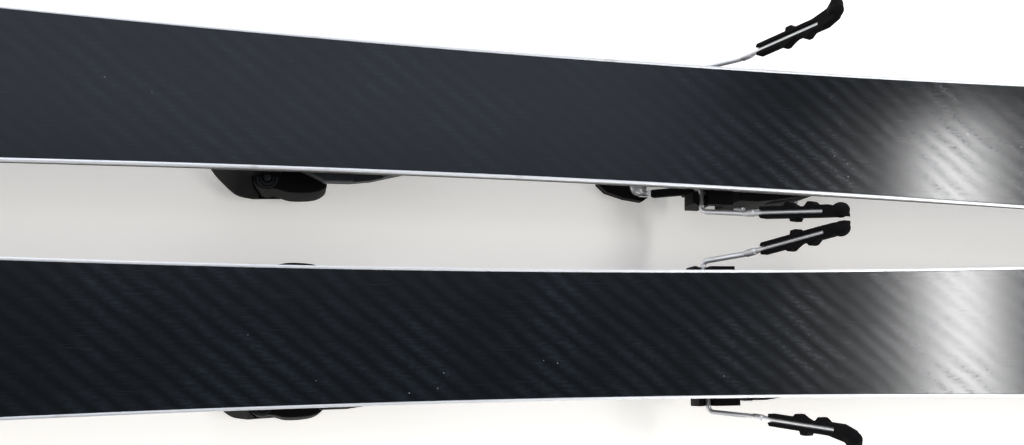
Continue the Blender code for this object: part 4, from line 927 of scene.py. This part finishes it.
# %% Brake and grip details
BRAKE_WIRE_RADIUS = 0.0020
BRAKE_WIRE_BEND = 0.0040
BRAKE_WIRE_SIDES = 20
BEND_STEPS = 8
BRAKE_KINK = Vector((0.1754, 0.0576, -0.0213))
BRAKE_WIRE_TIP = Vector((0.2052, 0.0651, 0.0478))
BRAKE_WIRE = [Vector((0.1160, 0.0160, -0.0760)), Vector((0.1160, 0.0372, -0.0760)),
              Vector((0.1518, 0.0372, -0.0415)), Vector((0.1518, 0.0544, -0.0415)),
              BRAKE_KINK, BRAKE_WIRE_TIP]
SWAGE_START = 0.0022
SWAGE_END = 0.0125
SWAGE_RADIUS = 0.0026
PEDAL_CAP = (0.1128, 0.0330, -0.0716)
PEDAL_CAP_RADIUS = 0.0068
PEDAL_CAP_FLATNESS = Matrix.Diagonal((1.0, 1.0, 0.45, 1.0))
# Each bulb's reach along the arm from its kink, and its place outward from the arm.
TIP_BULBS = {"outer": (0.0890, 0.0042), "inner": (0.0885, -0.0006)}
TIP_BULB_SIZE = (0.0068, 0.0053, 0.0046)
SWAGE_RIM = 0.0010
LEG_GUIDE_START = 0.0095
LEG_GUIDE_LENGTH = 0.0350
LEG_GUIDE_MIDDLE_Y = 0.0380
LEG_GUIDE_SIZE = (0.0060, 0.0062)
LEG_GUIDE_RIM = 0.0012
# Each row's body, finish, places along the ski, height, and the size of one rib.
RIB_ROWS = {
    "pedal_ribs": ("brake_pedal_body", "black", (0.090, 0.096, 0.102, 0.108), -0.0806,
                   (0.0016, 0.052, 0.0010)),
    "jaw_ribs": ("heel_cup_body", "black", (0.1535, 0.1585, 0.1635), -0.0792, (0.0014, 0.060, 0.0010)),
    "lever_ribs": ("heel_lever_body", "grey", (0.249, 0.253, 0.257, 0.261), -0.0792,
                   (0.0012, 0.034, 0.0010)),
    "plate_ribs": ("afd_body", "grey", (-0.1325, -0.1290, -0.0755, -0.0720), -0.0403,
                   (0.0016, 0.068, 0.0010)),
}
GLIDE_STRIP = {"middle": (-0.104, 0.0, -0.0402), "size": (0.046, 0.050, 0.0010), "corner": 0.0070,
               "rim": 0.0003}
HEEL_RIB_MIDDLE = (0.2210, 0.0422)
HEEL_RIB_SIZE = (0.0300, 0.0010, 0.0016)
HEEL_RIB_TURN = math.radians(-9.6)
HEEL_RIB_DEPTHS = (0.0400, 0.0440, 0.0480, 0.0520)
HEEL_RIB_RIM = 0.0003


def rounded(points, reach, steps):
    """A path with each corner replaced by a smooth bend that starts this far before it."""
    path = [points[0]]
    for before, corner, after in zip(points, points[1:], points[2:]):
        start = corner + (before - corner).normalized() * reach
        end = corner + (after - corner).normalized() * reach
        for t in (step / steps for step in range(steps + 1)):
            path.append(start.lerp(corner, t).lerp(corner.lerp(end, t), t))
    return path + [points[-1]]


def swept(path, radius, sides):
    """A round bar: a circle that is pushed along a path and turned with it."""
    builder = bmesh.new()
    heading = (path[1] - path[0]).normalized()
    turn = Vector((0.0, 0.0, 1.0)).rotation_difference(heading).to_matrix().to_4x4()
    bmesh.ops.create_circle(builder, segments=sides, radius=radius, cap_ends=True,
                            matrix=Matrix.Translation(path[0]) @ turn)
    face = builder.faces[:]
    for number in range(1, len(path)):
        after = path[min(number + 1, len(path) - 1)] - path[number - 1]
        bend = heading.rotation_difference(after.normalized()).to_matrix().to_4x4()
        heading = after.normalized()
        step = Matrix.Translation(path[number]) @ bend @ Matrix.Translation(-path[number - 1])
        grown = bmesh.ops.extrude_face_region(builder, geom=face, use_keep_orig=number == 1)["geom"]
        face = [item for item in grown if isinstance(item, bmesh.types.BMFace)]
        bmesh.ops.transform(builder, matrix=step, verts=face[0].verts)
    return builder


def turned_to(along, across, middle):
    """The turn and move from X and Y to two other directions."""
    axes = Matrix((along, across, along.cross(across))).transposed().to_4x4()
    return Matrix.Translation(middle) @ axes


def make_brake_details(prefix):
    along = (BRAKE_WIRE_TIP - BRAKE_KINK).normalized()
    across = (Vector((0.0, 1.0, 0.0)) - along * along.y).normalized()
    low, high = BRAKE_WIRE[1], BRAKE_WIRE[2]
    leg = (high - low).normalized()
    guide_middle = low + leg * (LEG_GUIDE_START + LEG_GUIDE_LENGTH / 2)
    for side, label in FLANKS:
        wire = swept(rounded(BRAKE_WIRE, BRAKE_WIRE_BEND, BEND_STEPS), BRAKE_WIRE_RADIUS, BRAKE_WIRE_SIDES)
        finished_piece(prefix, f"brake_arm_{label}", flipped(wire, side), "brake_arms", "chrome",
                       [f"brake_wire_{label}"], 50.0)
    for side, label in FLANKS:
        swage = drum(SWAGE_RADIUS, SWAGE_END - SWAGE_START, SWAGE_RIM)
        seated(swage, BRAKE_KINK + along * (SWAGE_START + SWAGE_END) / 2, along)
        finished_piece(prefix, f"wire_swage_{label}", flipped(swage, side), "brake_arms", "chrome",
                       smooth_angle=60.0)
        guide = bars([((0.0, 0.0, 0.0), (LEG_GUIDE_SIZE[1], LEG_GUIDE_SIZE[0], LEG_GUIDE_LENGTH))],
                     LEG_GUIDE_RIM)
        seated(guide, (guide_middle.x, LEG_GUIDE_MIDDLE_Y, guide_middle.z), leg)
        finished_piece(prefix, f"leg_guide_{label}", flipped(guide, side), "brake_arms", "black")
        x, y, z = PEDAL_CAP
        cap = bmesh.new()
        bmesh.ops.create_uvsphere(cap, u_segments=28, v_segments=14, radius=PEDAL_CAP_RADIUS,
                                  matrix=Matrix.Translation((x, side * y, z)) @ PEDAL_CAP_FLATNESS)
        finished_piece(prefix, f"pedal_cap_{label}", cap, "brake_pedal_body", "chrome", smooth_angle=80.0)
    for side, label in FLANKS:
        reach, outward = TIP_BULBS[label]
        bulb = bmesh.new()
        bmesh.ops.create_uvsphere(bulb, u_segments=24, v_segments=14, radius=1.0,
                                  matrix=Matrix.Diagonal((*TIP_BULB_SIZE, 1.0)))
        place = turned_to(along, across, BRAKE_KINK + along * reach + across * outward)
        bmesh.ops.transform(bulb, matrix=place, verts=bulb.verts)
        finished_piece(prefix, f"arm_bulb_{label}", flipped(bulb, side), "brake_arms", "black",
                       smooth_angle=80.0)


def make_rib_row(prefix, name):
    body, slot, places, height, size = RIB_ROWS[name]
    finished_piece(prefix, name, bars([((x, 0.0, height), size) for x in places]), body, slot)


def make_grip_details(prefix):
    for name in ("pedal_ribs", "jaw_ribs", "lever_ribs"):
        make_rib_row(prefix, name)
    finished_piece(prefix, "glide_strip", rounded_plate(**GLIDE_STRIP), "afd_body", "grey", finish="ptfe")
    make_rib_row(prefix, "plate_ribs")
    for side, label in FLANKS:
        panel = bmesh.new()
        for depth in HEEL_RIB_DEPTHS:
            place = Matrix.Translation((*HEEL_RIB_MIDDLE, -depth)) @ Matrix.Rotation(HEEL_RIB_TURN, 4, "Z")
            bmesh.ops.create_cube(panel, size=1.0, matrix=place @ Matrix.Diagonal((*HEEL_RIB_SIZE, 1.0)))
        rounded_off(panel, panel.edges[:], HEEL_RIB_RIM)
        finished_piece(prefix, f"heel_ribs_{label}", flipped(panel, side), "heel_body", "black")


for ski in SIDES:
    make_brake_details(ski)
    make_grip_details(ski)
print("brake arms and grips detailed")

# %% [markdown]
# Inside, a coil spring behind the toe piece's piston and one in the heel piece set how hard the binding
# lets go. A solid tube could stand for a hidden spring, but each is wound as a real coil. The toe's, which
# is pressed together when a wing swings, gets a mesh of its own.

# %% Springs
COIL_STEPS = 20
COIL_SIDES = 10
TOE_COIL = {"start": -0.1877, "length": 0.0200, "height": -0.0640, "outer": 0.0094, "wire": 0.00145,
            "turns": 4.5}
HEEL_COIL = {"start": 0.1997, "length": 0.0340, "height": -0.0454, "outer": 0.0099, "wire": 0.0018,
             "turns": 6.5}


def coil_spring(start, length, height, outer, wire, turns):
    """A wire wound along X, from one end of its seat to the other."""
    path = []
    steps = round(turns * COIL_STEPS)
    reach = outer - wire
    for step in range(steps + 1):
        angle = math.tau * turns * step / steps
        x = start + wire + (length - 2 * wire) * step / steps
        path.append(Vector((x, reach * math.cos(angle), height + reach * math.sin(angle))))
    return swept(path, wire, COIL_SIDES)


def make_springs(prefix):
    finished_piece(prefix, "heel_coil", coil_spring(**HEEL_COIL), "heel_body", "zinc", ["heel_spring"],
                   60.0)
    toe = finished_piece(prefix, "toe_coil", coil_spring(**TOE_COIL), "ski", "zinc", ["toe_spring"], 60.0)
    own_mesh(toe)


for ski in SIDES:
    make_springs(ski)
print("springs of", TOE_COIL["turns"], "and", HEEL_COIL["turns"], "turns")

# %% [markdown]
# A small lens in the nose of the toe piece and one in the back of the heel piece show how hard the binding
# is set. Each has a plain row of marks with a longer one in the middle.

# %% Setting scales
SCALE_MARKS = 7
SCALE_PITCH = 0.0018
SCALES = (("toe", "ski", -1, (-0.202, 0.0, -0.0470)), ("heel", "heel_body", 1, (0.250, 0.0, -0.0625)))
SCALE_LENS_SIZE = (0.0010, 0.0170, 0.0056)
SCALE_LENS_RIM = 0.0004
SCALE_MARK_LIFT = 0.00052
SCALE_MARK_SIZE = (0.00016, 0.00045, 0.0021)
SCALE_LONG_MARK_SIZE = (0.00016, 0.00045, 0.0034)
SCALE_MARK_RIM = 0.00004


def make_scale(prefix, name, body, facing, place):
    x, y, z = place
    lens = bars([((x, y, z), SCALE_LENS_SIZE)], SCALE_LENS_RIM)
    finished_piece(prefix, f"{name}_scale_lens", lens, body, "grey", finish="lens")
    face = x + facing * SCALE_MARK_LIFT
    middle = SCALE_MARKS // 2
    marks = [((face, y + (number - middle) * SCALE_PITCH, z),
              SCALE_LONG_MARK_SIZE if number == middle else SCALE_MARK_SIZE)
             for number in range(SCALE_MARKS)]
    finished_piece(prefix, f"{name}_scale_marks", bars(marks, SCALE_MARK_RIM), body, "grey", finish="print")


for ski in SIDES:
    for name, body, facing, place in SCALES:
        make_scale(ski, name, body, facing, place)
print(len(SCALES) * 2, "setting scales")

# %% [markdown]
# What stays hidden inside keeps its solid and takes the same finishes.

# %% Finishes for the solids that stay
INSIDE = {"core": "wood", "toe_piston": "zinc", "heel_cup_pin": "zinc"}
for ski in SIDES:
    for node, slot in INSIDE.items():
        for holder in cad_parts[f"{ski}_{node}"].material_slots:
            holder.material = FINISH[slot]
print(len(INSIDE) * 2, "hidden solids finished")
